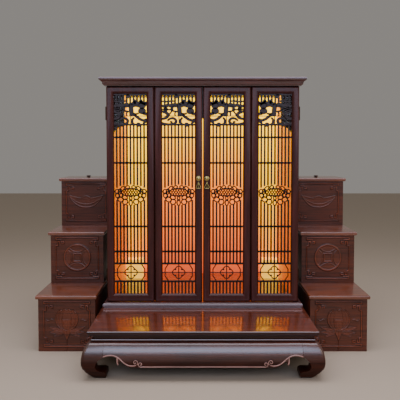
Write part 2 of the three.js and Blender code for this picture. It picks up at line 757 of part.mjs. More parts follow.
/** Low turned knob that lifts the topmost board. */
function lidKnob() {
  const [r, h] = [lidKnobRadius, lidKnobHeight];
  const profile = polygon([
    [0, 0], [r * 0.66, 0], [r * 0.6, h * 0.22], [r, h * 0.45], [r * 0.96, h * 0.7], [r * 0.62, h * 0.94], [0, h],
  ]);
  return new THREE.LatheGeometry(profile, 12).rotateX(Math.PI / 2);
}

function buildStands() {
  const steps = [
    ['lower', lotusRelief, lotusSize], ['middle', coinRelief, coinRadius], ['upper', ingotRelief, ingotHalfLength],
  ];
  for (const [name, side] of [['left', -1], ['right', 1]]) {
    let foot = 0;
    steps.forEach(([step, relief, size], index) => {
      const front = standBack - standLowerDepth + index * standTread;
      const head = foot + standHeights[index] - standBoard;
      const [x0, x1] = [standInner, standInner + standWidth];
      const carcass = standBox(x0, x1, front, standBack, foot, head, relief, size);
      add(`stand_${name}_${step}_box`, onSide(side, carcass), walnut);
      add(`stand_${name}_${step}_board`, onSide(side, standLid(x0, x1, front, head + jointGap)), walnut);
      foot = head + standBoard + jointGap;
    });
    const lidFront = standBack - standLowerDepth + 2 * standTread - standOverhang;
    add(`stand_${name}_knob`, lidKnob(), walnut).position.set(
      side * (standInner + standWidth / 2), lidFront + lidKnobShare * (standBack - lidFront), foot + jointGap,
    );
  }
}

buildPlatform();
buildCase();
buildDoors();
buildStands();

export default altar;
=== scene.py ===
"""Household altar cabinet on a scroll-footed platform, between two stepped box stands.

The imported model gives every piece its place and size. This script gives the pieces their
lacquer, glass, brass and light, and makes the carved and moulded ones again as fine meshes:
lattice doors, relief fronts, mouldings, swelling aprons and scroll feet. Metres, +Z up, front -Y.
"""

from __future__ import annotations

import json
import logging
import math
from dataclasses import dataclass, field
from enum import Enum
from typing import Callable, Sequence

import bpy
import numpy as np
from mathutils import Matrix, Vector

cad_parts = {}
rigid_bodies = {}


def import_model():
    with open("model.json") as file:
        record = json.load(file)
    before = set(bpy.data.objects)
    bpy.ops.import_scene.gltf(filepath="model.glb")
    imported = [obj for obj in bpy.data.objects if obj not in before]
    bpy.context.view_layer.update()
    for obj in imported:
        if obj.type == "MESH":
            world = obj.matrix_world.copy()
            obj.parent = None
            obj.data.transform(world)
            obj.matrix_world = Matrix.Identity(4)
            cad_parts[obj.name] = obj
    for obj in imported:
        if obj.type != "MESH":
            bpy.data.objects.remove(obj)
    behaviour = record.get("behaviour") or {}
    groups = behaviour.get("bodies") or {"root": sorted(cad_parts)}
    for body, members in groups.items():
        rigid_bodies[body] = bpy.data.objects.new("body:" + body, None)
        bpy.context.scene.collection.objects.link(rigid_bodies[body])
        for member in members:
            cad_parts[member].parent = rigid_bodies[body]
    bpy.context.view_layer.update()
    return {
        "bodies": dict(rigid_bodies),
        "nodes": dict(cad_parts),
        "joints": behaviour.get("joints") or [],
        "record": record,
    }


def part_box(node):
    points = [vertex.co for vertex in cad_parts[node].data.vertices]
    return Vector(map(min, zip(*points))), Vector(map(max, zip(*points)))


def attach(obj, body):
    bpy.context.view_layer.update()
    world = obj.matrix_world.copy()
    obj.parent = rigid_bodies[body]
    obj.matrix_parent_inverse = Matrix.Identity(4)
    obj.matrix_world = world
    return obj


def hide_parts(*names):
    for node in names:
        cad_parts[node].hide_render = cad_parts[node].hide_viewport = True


LOG = logging.getLogger("altar_cabinet")
MM = 0.001
ROOT = "root"
SMOOTH_ANGLE = math.radians(38)


class Grain(Enum):
    """Direction in which the wood's grain runs."""

    ALONG_X = 0
    ALONG_Y = 1
    ALONG_Z = 2


class Side(Enum):
    """The two mirrored halves of the object."""

    LEFT = -1
    RIGHT = 1

    @property
    def word(self) -> str:
        """Name of the side as the nodes spell it."""
        return self.name.lower()


# Surfaces worked out with numpy


@dataclass
class Shell:
    """Points and faces of a surface, in metres.

    Attributes:
        points: (n, 3) places.
        faces: arrays of faces, each array holding faces of one corner count.
        tone: carving tone of each point, from 0 in a recess to 1 on a raised edge.
    """

    points: np.ndarray
    faces: list[np.ndarray]
    tone: np.ndarray | None = None

    def outward(self) -> "Shell":
        """Turns the faces of a closed shell outwards, by the sign of the volume they enclose."""
        volume = 0.0
        for faces in self.faces:
            corners = self.points[faces]
            for k in range(1, faces.shape[1] - 1):
                volume += float(np.einsum("ij,ij->", corners[:, 0], np.cross(corners[:, k], corners[:, k + 1])))
        if volume < 0:
            self.faces = [faces[:, ::-1] for faces in self.faces]
        return self

    def toned(self, tone: float) -> "Shell":
        """Gives every point the same carving tone."""
        self.tone = np.full(len(self.points), tone)
        return self


def join(shells: Sequence[Shell]) -> Shell:
    """Puts several shells in one, by adding the running point count to each one's faces.

    Args:
        shells: the shells, each with or without a tone.

    Returns:
        One shell. Where a shell has no tone its points get 0.5.
    """
    points, faces, tones, count = [], [], [], 0
    for shell in shells:
        points.append(shell.points)
        faces.extend(block + count for block in shell.faces)
        tones.append(np.full(len(shell.points), 0.5) if shell.tone is None else shell.tone)
        count += len(shell.points)
    return Shell(np.concatenate(points), faces, np.concatenate(tones))


def sweep(grid: np.ndarray, closed: bool = False) -> Shell:
    """Skins a row of closed sections.

    Point (i, j) of the grid is joined to (i + 1, j) and (i, j + 1), with j wrapping round. The first
    and last sections are capped, or joined to each other when the row itself is closed.

    Args:
        grid: (rows, section points, 3).
        closed: whether the row of sections is a ring.

    Returns:
        A closed shell with its faces out.
    """
    rows, count, _ = grid.shape
    index = np.arange(rows * count).reshape(rows, count)
    here = index if closed else index[:-1]
    there = np.roll(index, -1, axis=0) if closed else index[1:]
    quads = np.stack([here, np.roll(here, -1, 1), np.roll(there, -1, 1), there], axis=-1).reshape(-1, 4)
    faces = [quads]
    if not closed:
        faces += [index[:1, ::-1], index[-1:]]
    return Shell(grid.reshape(-1, 3), faces).outward()


def strap(
    path: np.ndarray, width: float | np.ndarray, front: float | np.ndarray, depth: float,
    ease: float = 0.8 * MM, closed: bool = False,
) -> Shell:
    """A strip of wood along a path in the plane of the front, with eased front edges.

    The section is a rectangle whose two front corners are cut by the ease. At each point it stands
    along the bisector of the neighbouring segments, widened by one over the cosine of half the turn.

    Args:
        path: (n, 2) places in X and Z.
        width: width of the strip, one value or one per point.
        front: Y of its front face, one value or one per point.
        depth: thickness from front to back.
        ease: size of the cut corner.
        closed: whether the path is a ring.

    Returns:
        A closed shell.
    """
    segments = np.roll(path, -1, axis=0) - path
    if not closed:
        segments = segments[:-1]
    segments = segments / np.linalg.norm(segments, axis=1, keepdims=True)
    if closed:
        before, after = np.roll(segments, 1, axis=0), segments
    else:
        before = np.concatenate([segments[:1], segments])
        after = np.concatenate([segments, segments[-1:]])
    bisector = before + after
    bisector /= np.linalg.norm(bisector, axis=1, keepdims=True)
    stretch = 1 / np.clip(np.sum(bisector * after, axis=1), 0.5, 1)
    normal = np.stack([-bisector[:, 1], bisector[:, 0]], axis=1)
    half = np.broadcast_to(np.asarray(width) / 2, (len(path),))
    cut = np.minimum(ease, half * 0.8)
    across = np.stack([-half, -half, -(half - cut), half - cut, half, half], axis=1) * stretch[:, None]
    zero = np.zeros(len(path))
    inward = np.stack([zero + depth, zero + ease, zero, zero, zero + ease, zero + depth], axis=1)
    grid = np.empty((len(path), 6, 3))
    grid[..., 0] = path[:, None, 0] + normal[:, None, 0] * across
    grid[..., 1] = np.broadcast_to(front, (len(path),))[:, None] + inward
    grid[..., 2] = path[:, None, 1] + normal[:, None, 1] * across
    return sweep(grid, closed)


def moulded(lo: Vector, hi: Vector, profile: np.ndarray, back_inset: np.ndarray | float | None = None) -> Shell:
    """A rectangular board, ring or open box with a profile carried round its four sides.

    Each profile point (inset, height) gives one rectangle, drawn in from the plan of the box by the
    inset. The rectangles are skinned in order, and the first and last are capped.

    Args:
        lo, hi: corners of the plan; only X and Y are used.
        profile: (n, 2) insets and heights.
        back_inset: inset of the back, where it differs from that of the other sides.

    Returns:
        A closed shell.
    """
    inset, height = profile[:, 0], profile[:, 1]
    back = hi.y - (inset if back_inset is None else np.broadcast_to(back_inset, inset.shape))
    x0, x1, y0 = lo.x + inset, hi.x - inset, lo.y + inset
    grid = np.stack([
        np.stack([x0, y0, height], 1), np.stack([x1, y0, height], 1),
        np.stack([x1, back, height], 1), np.stack([x0, back, height], 1),
    ], axis=1)
    return sweep(grid)


def revolve(profile: np.ndarray, centre: Vector, count: int = 32) -> Shell:
    """A turned piece: each profile point (radius, forward) becomes a circle about the Y axis.

    Args:
        profile: (n, 2) radii and distances towards -Y from the centre.
        centre: place of the axis.
        count: points in each circle.

    Returns:
        A closed shell.
    """
    angle = np.linspace(0, 2 * np.pi, count, endpoint=False)
    radius, forward = profile[:, :1], profile[:, 1:]
    grid = np.stack([
        centre.x + radius * np.cos(angle), centre.y - forward + 0 * angle, centre.z + radius * np.sin(angle),
    ], axis=-1)
    return sweep(grid)


def rounded_edge(inset: float, height: float, radius: float, upward: bool, count: int = 5) -> np.ndarray:
    """Quarter round from the side of a board to its face.

    Args:
        inset: inset of the side.
        height: height of the face.
        radius: radius of the round.
        upward: whether the face looks up.
        count: points in the arc.

    Returns:
        (count, 2) insets and heights, from the lower end to the upper one.
    """
    angle = np.linspace(0, np.pi / 2, count)
    rise, run = radius * (1 - np.sin(angle)), radius * (1 - np.cos(angle))
    if upward:
        return np.stack([inset + run, height - rise], axis=1)
    return np.stack([inset + run, height + rise], axis=1)[::-1]


def catmull_rom(points: Sequence[Sequence[float]], samples: int) -> np.ndarray:
    """Smooth curve through points, a uniform Catmull-Rom spline with doubled ends.

    Args:
        points: the points to pass through.
        samples: points in the result.

    Returns:
        (samples, 2) places along the curve.
    """
    knots = np.asarray(points, float)
    padded = np.concatenate([knots[:1], knots, knots[-1:]])
    place = np.linspace(0, len(knots) - 1, samples)
    first = np.minimum(place.astype(int), len(knots) - 2)
    t = (place - first)[:, None]
    p0, p1, p2, p3 = (padded[first + k] for k in range(4))
    v0, v1 = (p2 - p0) / 2, (p3 - p1) / 2
    return (2 * p1 - 2 * p2 + v0 + v1) * t**3 + (-3 * p1 + 3 * p2 - 2 * v0 - v1) * t**2 + v0 * t + p1


def spiral(centre: Sequence[float], start: float, outer: float, inner: float, turns: float, count: int = 36) -> np.ndarray:
    """A scroll line whose radius falls evenly as it turns.

    Args:
        centre: X and Z of its eye.
        start: angle of the outer end.
        outer, inner: radii at the two ends.
        turns: turns made, negative for the other hand.
        count: points in the line.

    Returns:
        (count, 2) places from the outer end to the eye.
    """
    t = np.linspace(0, 1, count)
    angle = start + 2 * np.pi * turns * t
    radius = outer + (inner - outer) * t
    return np.stack([centre[0] + radius * np.cos(angle), centre[1] + radius * np.sin(angle)], axis=1)


def ellipse_line(centre: Sequence[float], radii: Sequence[float], count: int = 32, start: float = 0.0) -> np.ndarray:
    """Closed ellipse about a centre, as (count, 2) places in X and Z."""
    angle = start + np.linspace(0, 2 * np.pi, count, endpoint=False)
    return np.stack([centre[0] + radii[0] * np.cos(angle), centre[1] + radii[1] * np.sin(angle)], axis=1)


def relief_plate(
    lo: Vector, hi: Vector, back: float, height: Callable[[np.ndarray, np.ndarray], np.ndarray], step: float,
) -> Shell:
    """A board whose front is a height field.

    Point (x, z) of an even grid stands forward of the face by height(x, z). A rim joins the edge of
    the grid to the flat back, which is a fan about its middle. The tone grows with the height.

    Args:
        lo, hi: corners of the plate; the face lies at lo.y.
        back: Y of the back.
        height: gives the relief in metres for arrays of X and Z.
        step: spacing of the grid.

    Returns:
        A closed shell with a tone.
    """
    nx = int(math.ceil((hi.x - lo.x) / step)) + 1
    nz = int(math.ceil((hi.z - lo.z) / step)) + 1
    x, z = np.meshgrid(np.linspace(lo.x, hi.x, nx), np.linspace(lo.z, hi.z, nz), indexing="ij")
    rise = height(x, z)
    front = np.stack([x, lo.y - rise, z], axis=-1).reshape(-1, 3)
    index = np.arange(nx * nz).reshape(nx, nz)
    quads = np.stack([index[:-1, :-1], index[1:, :-1], index[1:, 1:], index[:-1, 1:]], axis=-1).reshape(-1, 4)
    edge = np.concatenate([index[:, 0], index[-1, 1:], index[-2::-1, -1], index[0, -2:0:-1]])
    rim = front[edge].copy()
    rim[:, 1] = back
    middle = np.array([[(lo.x + hi.x) / 2, back, (lo.z + hi.z) / 2]])
    ring = nx * nz + np.arange(len(edge))
    sides = np.stack([edge, ring, np.roll(ring, -1), np.roll(edge, -1)], axis=1)
    fan = np.stack([np.roll(ring, -1), ring, np.full(len(edge), nx * nz + len(edge))], axis=1)
    span = max(float(rise.max()), 1e-6)
    slope = np.hypot(*np.gradient(rise, step))
    # Tone: higher on raised parts as a painted highlight, lower on steep slopes and on the ground as painted shade.
    tone = np.clip(0.38 + 0.7 * rise / span - 0.65 * slope, 0, 1).reshape(-1)
    tones = np.concatenate([tone, np.full(len(edge) + 1, 0.5)])
    return Shell(np.concatenate([front, rim, middle]), [quads, sides, fan], tones).outward()


# Finishes


def linear(colour: str) -> tuple[float, float, float, float]:
    """Turns an sRGB hex colour such as #43252a into linear red, green, blue and alpha."""
    parts = [int(colour[i:i + 2], 16) / 255 for i in (1, 3, 5)]
    red, green, blue = (c / 12.92 if c <= 0.04045 else ((c + 0.055) / 1.055) ** 2.4 for c in parts)
    return red, green, blue, 1.0


def add_node(tree: bpy.types.NodeTree, kind: str, inputs: dict | None = None, **settings: object) -> bpy.types.Node:
    """Adds a node with its settings and links.

    Args:
        tree: the material's node tree.
        kind: the node's type name.
        inputs: socket name or number to a value, or to the output socket that feeds it.
        settings: the node's own properties.

    Returns:
        The new node.
    """
    made = tree.nodes.new(kind)
    for name, value in settings.items():
        setattr(made, name, value)
    for name, value in (inputs or {}).items():
        if isinstance(value, bpy.types.NodeSocket):
            tree.links.new(value, made.inputs[name])
        else:
            made.inputs[name].default_value = value
    return made


def blank_material(name: str) -> tuple[bpy.types.Material, bpy.types.NodeTree, bpy.types.Node]:
    """Makes a material with a Principled shader wired to its output.

    Args:
        name: the material's name.

    Returns:
        The material, its node tree and the shader.
    """
    material = bpy.data.materials.new(name)
    material.use_nodes = True
    tree = material.node_tree
    tree.nodes.clear()
    shader = add_node(tree, "ShaderNodeBsdfPrincipled")
    add_node(tree, "ShaderNodeOutputMaterial", {"Surface": shader.outputs["BSDF"]})
    return material, tree, shader


@dataclass(frozen=True)
class LacqueredWood:
    """Stained hardwood under satin lacquer.

    Long, soft figure in two close tones, with fine dark pores along the grain, under a clear coat
    that gives the broad sheen on swelling faces and the bright line on every moulded edge.

    Attributes:
        name: name of the finish.
        dark, light: sRGB colours of the figure.
        figure_mm: width of a band of figure.
        pore_mm: width of a pore; drawn about twice its real width so that it shows.
        roughness: of the wood under the coat.
        specular: strength of the wood's own reflection.
        coat: weight of the lacquer.
        coat_roughness: of the lacquer.
        coat_ior: refractive index of the lacquer, high for a thick polish.
        carved: whether the colour follows the piece's tone: darker in recesses, partly stain that settles there and
            partly painted shade, and lighter on raised edges as a painted highlight; the coat weight falls with the
            tone too.
    """

    name: str
    dark: str
    light: str
    figure_mm: float = 11.0
    pore_mm: float = 1.1
    roughness: float = 0.42
    specular: float = 0.35
    coat: float = 0.15
    coat_roughness: float = 0.16
    coat_ior: float = 1.5
    carved: bool = False

    def material(self, grain: Grain) -> bpy.types.Material:
        """Builds the material with its grain along one axis, once per axis.

        Args:
            grain: direction of the grain.

        Returns:
            The material.
        """
        name = f"{self.name}_{grain.name.lower()}"
        if name in bpy.data.materials:
            return bpy.data.materials[name]
        material, tree, shader = blank_material(name)
        place = add_node(tree, "ShaderNodeTexCoord").outputs["Object"]

        def stretched(width_mm: float, length_mm: float, detail: float) -> bpy.types.NodeSocket:
            scale = [1 / (width_mm * MM)] * 3
            scale[grain.value] = 1 / (length_mm * MM)
            mapped = add_node(tree, "ShaderNodeMapping", {"Vector": place, "Scale": scale})
            noise = add_node(tree, "ShaderNodeTexNoise", {
                "Vector": mapped.outputs["Vector"], "Scale": 1.0, "Detail": detail, "Roughness": 0.62,
                "Distortion": 0.5,
            })
            return noise.outputs["Fac"]

        figure = stretched(self.figure_mm, self.figure_mm * 22, 5.0)
        pores = stretched(self.pore_mm, self.pore_mm * 34, 2.0)
        broad = stretched(90.0, 260.0, 2.0)
        band = add_node(tree, "ShaderNodeMapRange", {
            "Value": figure, "From Min": 0.32, "From Max": 0.68,
        }).outputs["Result"]
        base = add_node(tree, "ShaderNodeMix", {0: band, 6: linear(self.dark), 7: linear(self.light)}, data_type="RGBA")
        fleck = add_node(tree, "ShaderNodeMapRange", {
            "Value": pores, "From Min": 0.5, "From Max": 0.72, "To Min": 1.0, "To Max": 0.55,
        }).outputs["Result"]
        shade = add_node(tree, "ShaderNodeMapRange", {
            "Value": broad, "From Min": 0.3, "From Max": 0.7, "To Min": 0.8, "To Max": 1.2,
        }).outputs["Result"]
        depth = add_node(tree, "ShaderNodeMath", {0: fleck, 1: shade}, operation="MULTIPLY").outputs["Value"]
        if self.carved:
            # Tone scales the colour from a quarter to almost twice: low in recesses as stain and painted shade, high on
            # raised edges as a painted highlight.
            tone = add_node(tree, "ShaderNodeAttribute", attribute_name="tone").outputs["Fac"]
            stain_and_painted_light = add_node(tree, "ShaderNodeMapRange", {
                "Value": tone, "From Min": 0.0, "From Max": 1.0, "To Min": 0.25, "To Max": 1.9,
            }).outputs["Result"]
            depth = add_node(tree, "ShaderNodeMath", {0: depth, 1: stain_and_painted_light}, operation="MULTIPLY").outputs["Value"]
            # Coat weight follows the tone, thin where the tone is low.
            coat_by_tone = add_node(tree, "ShaderNodeMapRange", {
                "Value": tone, "From Max": 0.2, "To Min": 0.05 * self.coat, "To Max": self.coat,
            }).outputs["Result"]
        tint = add_node(tree, "ShaderNodeVectorMath", {0: base.outputs[2]}, operation="SCALE")
        tree.links.new(depth, tint.inputs["Scale"])
        tree.links.new(tint.outputs["Vector"], shader.inputs["Base Color"])
        gloss = add_node(tree, "ShaderNodeMapRange", {
            "Value": figure, "To Min": self.roughness - 0.05, "To Max": self.roughness + 0.07,
        }).outputs["Result"]
        tree.links.new(gloss, shader.inputs["Roughness"])
        bump = add_node(tree, "ShaderNodeBump", {"Height": pores, "Strength": 0.25, "Distance": 0.06 * MM})
        tree.links.new(bump.outputs["Normal"], shader.inputs["Normal"])
        shader.inputs["Coat Weight"].default_value = self.coat
        if self.carved:
            tree.links.new(coat_by_tone, shader.inputs["Coat Weight"])
        shader.inputs["Coat Roughness"].default_value = self.coat_roughness
        shader.inputs["Coat IOR"].default_value = self.coat_ior
        shader.inputs["IOR"].default_value = 1.5
        shader.inputs["Specular IOR Level"].default_value = self.specular
        return material


@dataclass(frozen=True)
class CastBrass:
    """Cast brass, polished and then left to dull: greenish yellow with a soft, uneven shine."""

    name: str = "dulled_cast_brass"
    colour: str = "#c9bb78"
    tarnish: str = "#7d6c38"
    roughness: float = 0.27

    def material(self) -> bpy.types.Material:
        """Builds the material once."""
        if self.name in bpy.data.materials:
            return bpy.data.materials[self.name]
        material, tree, shader = blank_material(self.name)
        place = add_node(tree, "ShaderNodeTexCoord").outputs["Object"]
        noise = add_node(tree, "ShaderNodeTexNoise", {"Vector": place, "Scale": 160.0, "Detail": 4.0}).outputs["Fac"]
        patch = add_node(tree, "ShaderNodeMapRange", {"Value": noise, "From Min": 0.42, "From Max": 0.75}).outputs["Result"]
        colour = add_node(tree, "ShaderNodeMix", {
            0: patch, 6: linear(self.colour), 7: linear(self.tarnish),
        }, data_type="RGBA")
        tree.links.new(colour.outputs[2], shader.inputs["Base Color"])
        rough = add_node(tree, "ShaderNodeMapRange", {
            "Value": noise, "To Min": self.roughness - 0.06, "To Max": self.roughness + 0.16,
        }).outputs["Result"]
        tree.links.new(rough, shader.inputs["Roughness"])
        shader.inputs["Metallic"].default_value = 1.0
        return material


@dataclass(frozen=True)
class ClearGlass:
    """Thin float glass: see-through, with only its edge and a faint reflection to be seen."""

    name: str = "clear_float_glass"

    def material(self) -> bpy.types.Material:
        """Builds the material once."""
        if self.name in bpy.data.materials:
            return bpy.data.materials[self.name]
        material, _, shader = blank_material(self.name)
        shader.inputs["Base Color"].default_value = linear("#f4efe2")
        shader.inputs["Roughness"].default_value = 0.03
        shader.inputs["Transmission Weight"].default_value = 1.0
        shader.inputs["IOR"].default_value = 1.45
        shader.inputs["Alpha"].default_value = 0.12
        return material


@dataclass(frozen=True)
class AmberLight:
    """Back-lit amber sheet: warm yellow near the lamps overhead, falling to deep orange at the foot.

    Attributes:
        head, waist, foot: sRGB colours from top to bottom.
        low, high: heights in metres between which the colour changes.
        front: Y in metres of the valance's rear, before which nothing is lit.
        strength: emission at the head.
        foot_share: share of that strength left at the foot.
        lamp_warmth: how far the yellow of the head reaches down in columns above the lamps, painted lamp light on the
            sheet.
    """

    low: float
    high: float
    front: float
    name: str = "backlit_amber_sheet"
    head: str = "#ffd400"
    waist: str = "#ff8a26"
    foot: str = "#cc4e28"
    strength: float = 3.1
    foot_share: float = 0.49
    lamp_warmth: float = 0.55

    def material(self) -> bpy.types.Material:
        """Builds the material once."""
        if self.name in bpy.data.materials:
            return bpy.data.materials[self.name]
        material, tree, shader = blank_material(self.name)
        place = add_node(tree, "ShaderNodeTexCoord").outputs["Object"]
        parts = add_node(tree, "ShaderNodeSeparateXYZ", {"Vector": place})
        share = add_node(tree, "ShaderNodeMapRange", {
            "Value": parts.outputs["Z"], "From Min": self.low, "From Max": self.high,
        }).outputs["Result"]
        # Yellower columns above the two lamps, towards the sides: painted lamp light on the sheet.
        off_middle = add_node(tree, "ShaderNodeMath", {0: parts.outputs["X"]}, operation="ABSOLUTE").outputs["Value"]
        painted_lamp_glow = add_node(tree, "ShaderNodeMapRange", {
            "Value": off_middle, "From Min": 0.2, "From Max": 0.36, "To Max": self.lamp_warmth,
        }).outputs["Result"]
        warmer = add_node(tree, "ShaderNodeMath", {0: share, 1: painted_lamp_glow}, operation="ADD").outputs["Value"]
        lower = add_node(tree, "ShaderNodeMapRange", {"Value": share, "From Min": 0.0, "From Max": 0.45}).outputs["Result"]
        upper = add_node(tree, "ShaderNodeMapRange", {"Value": warmer, "From Min": 0.45, "From Max": 1.0}).outputs["Result"]
        warm = add_node(tree, "ShaderNodeMix", {0: lower, 6: linear(self.foot), 7: linear(self.waist)}, data_type="RGBA")
        colour = add_node(tree, "ShaderNodeMix", {0: upper, 6: warm.outputs[2], 7: linear(self.head)}, data_type="RGBA")
        tree.links.new(colour.outputs[2], shader.inputs["Emission Color"])
        tree.links.new(colour.outputs[2], shader.inputs["Base Color"])
        power = add_node(tree, "ShaderNodeMapRange", {
            "Value": share, "From Min": 0.5, "To Min": self.strength * self.foot_share, "To Max": self.strength,
        }).outputs["Result"]
        behind = add_node(tree, "ShaderNodeMapRange", {
            "Value": parts.outputs["Y"], "From Min": self.front - 4 * MM, "From Max": self.front,
        }).outputs["Result"]
        lit = add_node(tree, "ShaderNodeMath", {0: power, 1: behind}, operation="MULTIPLY").outputs["Value"]
        tree.links.new(lit, shader.inputs["Emission Strength"])
        shader.inputs["Roughness"].default_value = 0.5
        return material


@dataclass(frozen=True)
class FrostedShade:
    """Frosted lamp glass, evenly lit from inside: pale warm white with no clear reflection."""

    name: str = "frosted_lamp_glass"
    colour: str = "#ffcb38"
    strength: float = 1.4

    def material(self) -> bpy.types.Material:
        """Builds the material once."""
        if self.name in bpy.data.materials:
            return bpy.data.materials[self.name]
        material, _, shader = blank_material(self.name)
        shader.inputs["Base Color"].default_value = linear(self.colour)
        shader.inputs["Emission Color"].default_value = linear(self.colour)
        shader.inputs["Emission Strength"].default_value = self.strength
        shader.inputs["Roughness"].default_value = 0.6
        return material


ROSEWOOD = LacqueredWood(
    "stained_rosewood", dark="#33100c", light="#4b1d17", specular=0.2, coat=0.25, coat_roughness=0.14,
)
ROSEWOOD_CARVED = LacqueredWood("carved_rosewood", dark="#28100d", light="#3e1b17", carved=True)
ROSEWOOD_POLISHED = LacqueredWood(
    "polished_rosewood", dark="#3a1714", light="#582824", coat=1.0, coat_roughness=0.1, coat_ior=1.8,
)
PLATFORM_WOOD = LacqueredWood(
    "platform_rosewood", dark="#4a2015", light="#7a3c27", roughness=0.3, specular=0.26, coat=1.0,
    coat_roughness=0.11, coat_ior=2.2, carved=True,
)
APRON_WOOD = LacqueredWood(
    "apron_rosewood", dark="#4a1e13", light="#763520", roughness=0.4, specular=0.14, coat=1.0,
    coat_roughness=0.27, coat_ior=2.0, carved=True,
)
# Pale rosewood for the apron's bead lines: a painted highlight along them.
BEAD_HIGHLIGHT_WOOD = LacqueredWood(
    "rubbed_rosewood_bead", dark="#8d6157", light="#b58a7e", roughness=0.3, coat=0.8, coat_roughness=0.2,
)
WALNUT = LacqueredWood(
    "stand_walnut", dark="#5e2c16", light="#8f4a28", figure_mm=9.0, coat=1.0, coat_roughness=0.11, coat_ior=1.6,
)
WALNUT_CARVED = LacqueredWood("carved_walnut", dark="#401a0b", light="#6b3018", figure_mm=9.0, coat=0.3, carved=True)
SMOKED_WOOD = LacqueredWood("smoked_grey_wood", dark="#484c45", light="#656a60")
BRASS = CastBrass()
BRONZE = CastBrass("dark_patinated_bronze", colour="#4d3a2b", tarnish="#2b211b", roughness=0.4)
GLASS = ClearGlass()
SHADE = FrostedShade()


# The workshop that turns shells into pieces


class Workshop:
    """Makes Blender objects of shells and ties them to the frame."""

    def __init__(self, frame: dict) -> None:
        """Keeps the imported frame.
        """
        self.nodes: dict[str, bpy.types.Object] = frame["nodes"]
        self.made = 0

    def piece(
        self, name: str, shell: Shell, material: bpy.types.Material, slot: str, body: str = ROOT,
        replaces: Sequence[str] = (), smooth: float = SMOOTH_ANGLE,
    ) -> bpy.types.Object:
        """Makes one piece: mesh, finish, body and the nodes that it stands for.

        Args:
            name: name of the piece.
            shell: its surface.
            material: its finish.
            slot: not used.
            body: body that it moves with.
            replaces: nodes that it stands for.
            smooth: edges under this angle are shaded smooth.

        Returns:
            The object.
        """
        mesh = bpy.data.meshes.new(name)
        faces = [face for block in shell.faces for face in block.tolist()]
        mesh.from_pydata(shell.points.tolist(), [], faces)
        if shell.tone is not None:
            attribute = mesh.attributes.new("tone", "FLOAT", "POINT")
            attribute.data.foreach_set("value", shell.tone.astype(np.float32))
        mesh.materials.append(material)
        mesh.polygons.foreach_set("use_smooth", np.ones(len(mesh.polygons), bool))
        mesh.set_sharp_from_angle(angle=smooth)
        mesh.validate()
        obj = bpy.data.objects.new(name, mesh)
        bpy.context.scene.collection.objects.link(obj)
        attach(obj, body)
        if replaces:
            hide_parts(*replaces)
        self.made += 1
        LOG.info("%s: %d faces on %s", name, len(faces), body)
        return obj

    def dress(self, node: str, material: bpy.types.Material) -> None:
        """Gives a node that keeps its own mesh its finish."""
        mesh = self.nodes[node].data
        mesh.materials.clear()
        mesh.materials.append(material)
        LOG.info("%s: dressed", node)

    def line_inside(self, node: str, side: Side, material: bpy.types.Material) -> None:
        """Gives the face of a side board that looks into the cabinet a second finish.

        The faces whose normal points back across the middle by more than half are the inner ones.

        Args:
            node: the side board.
            side: its half of the object.
            material: finish of the inner face.
        """
        mesh = self.nodes[node].data
        mesh.materials.append(material)
        normals = np.empty(3 * len(mesh.polygons))
        mesh.polygons.foreach_get("normal", normals)
        inner = normals[0::3] * side.value < -0.5
        mesh.polygons.foreach_set("material_index", inner.astype(np.int32))
        mesh.update()


# Platform


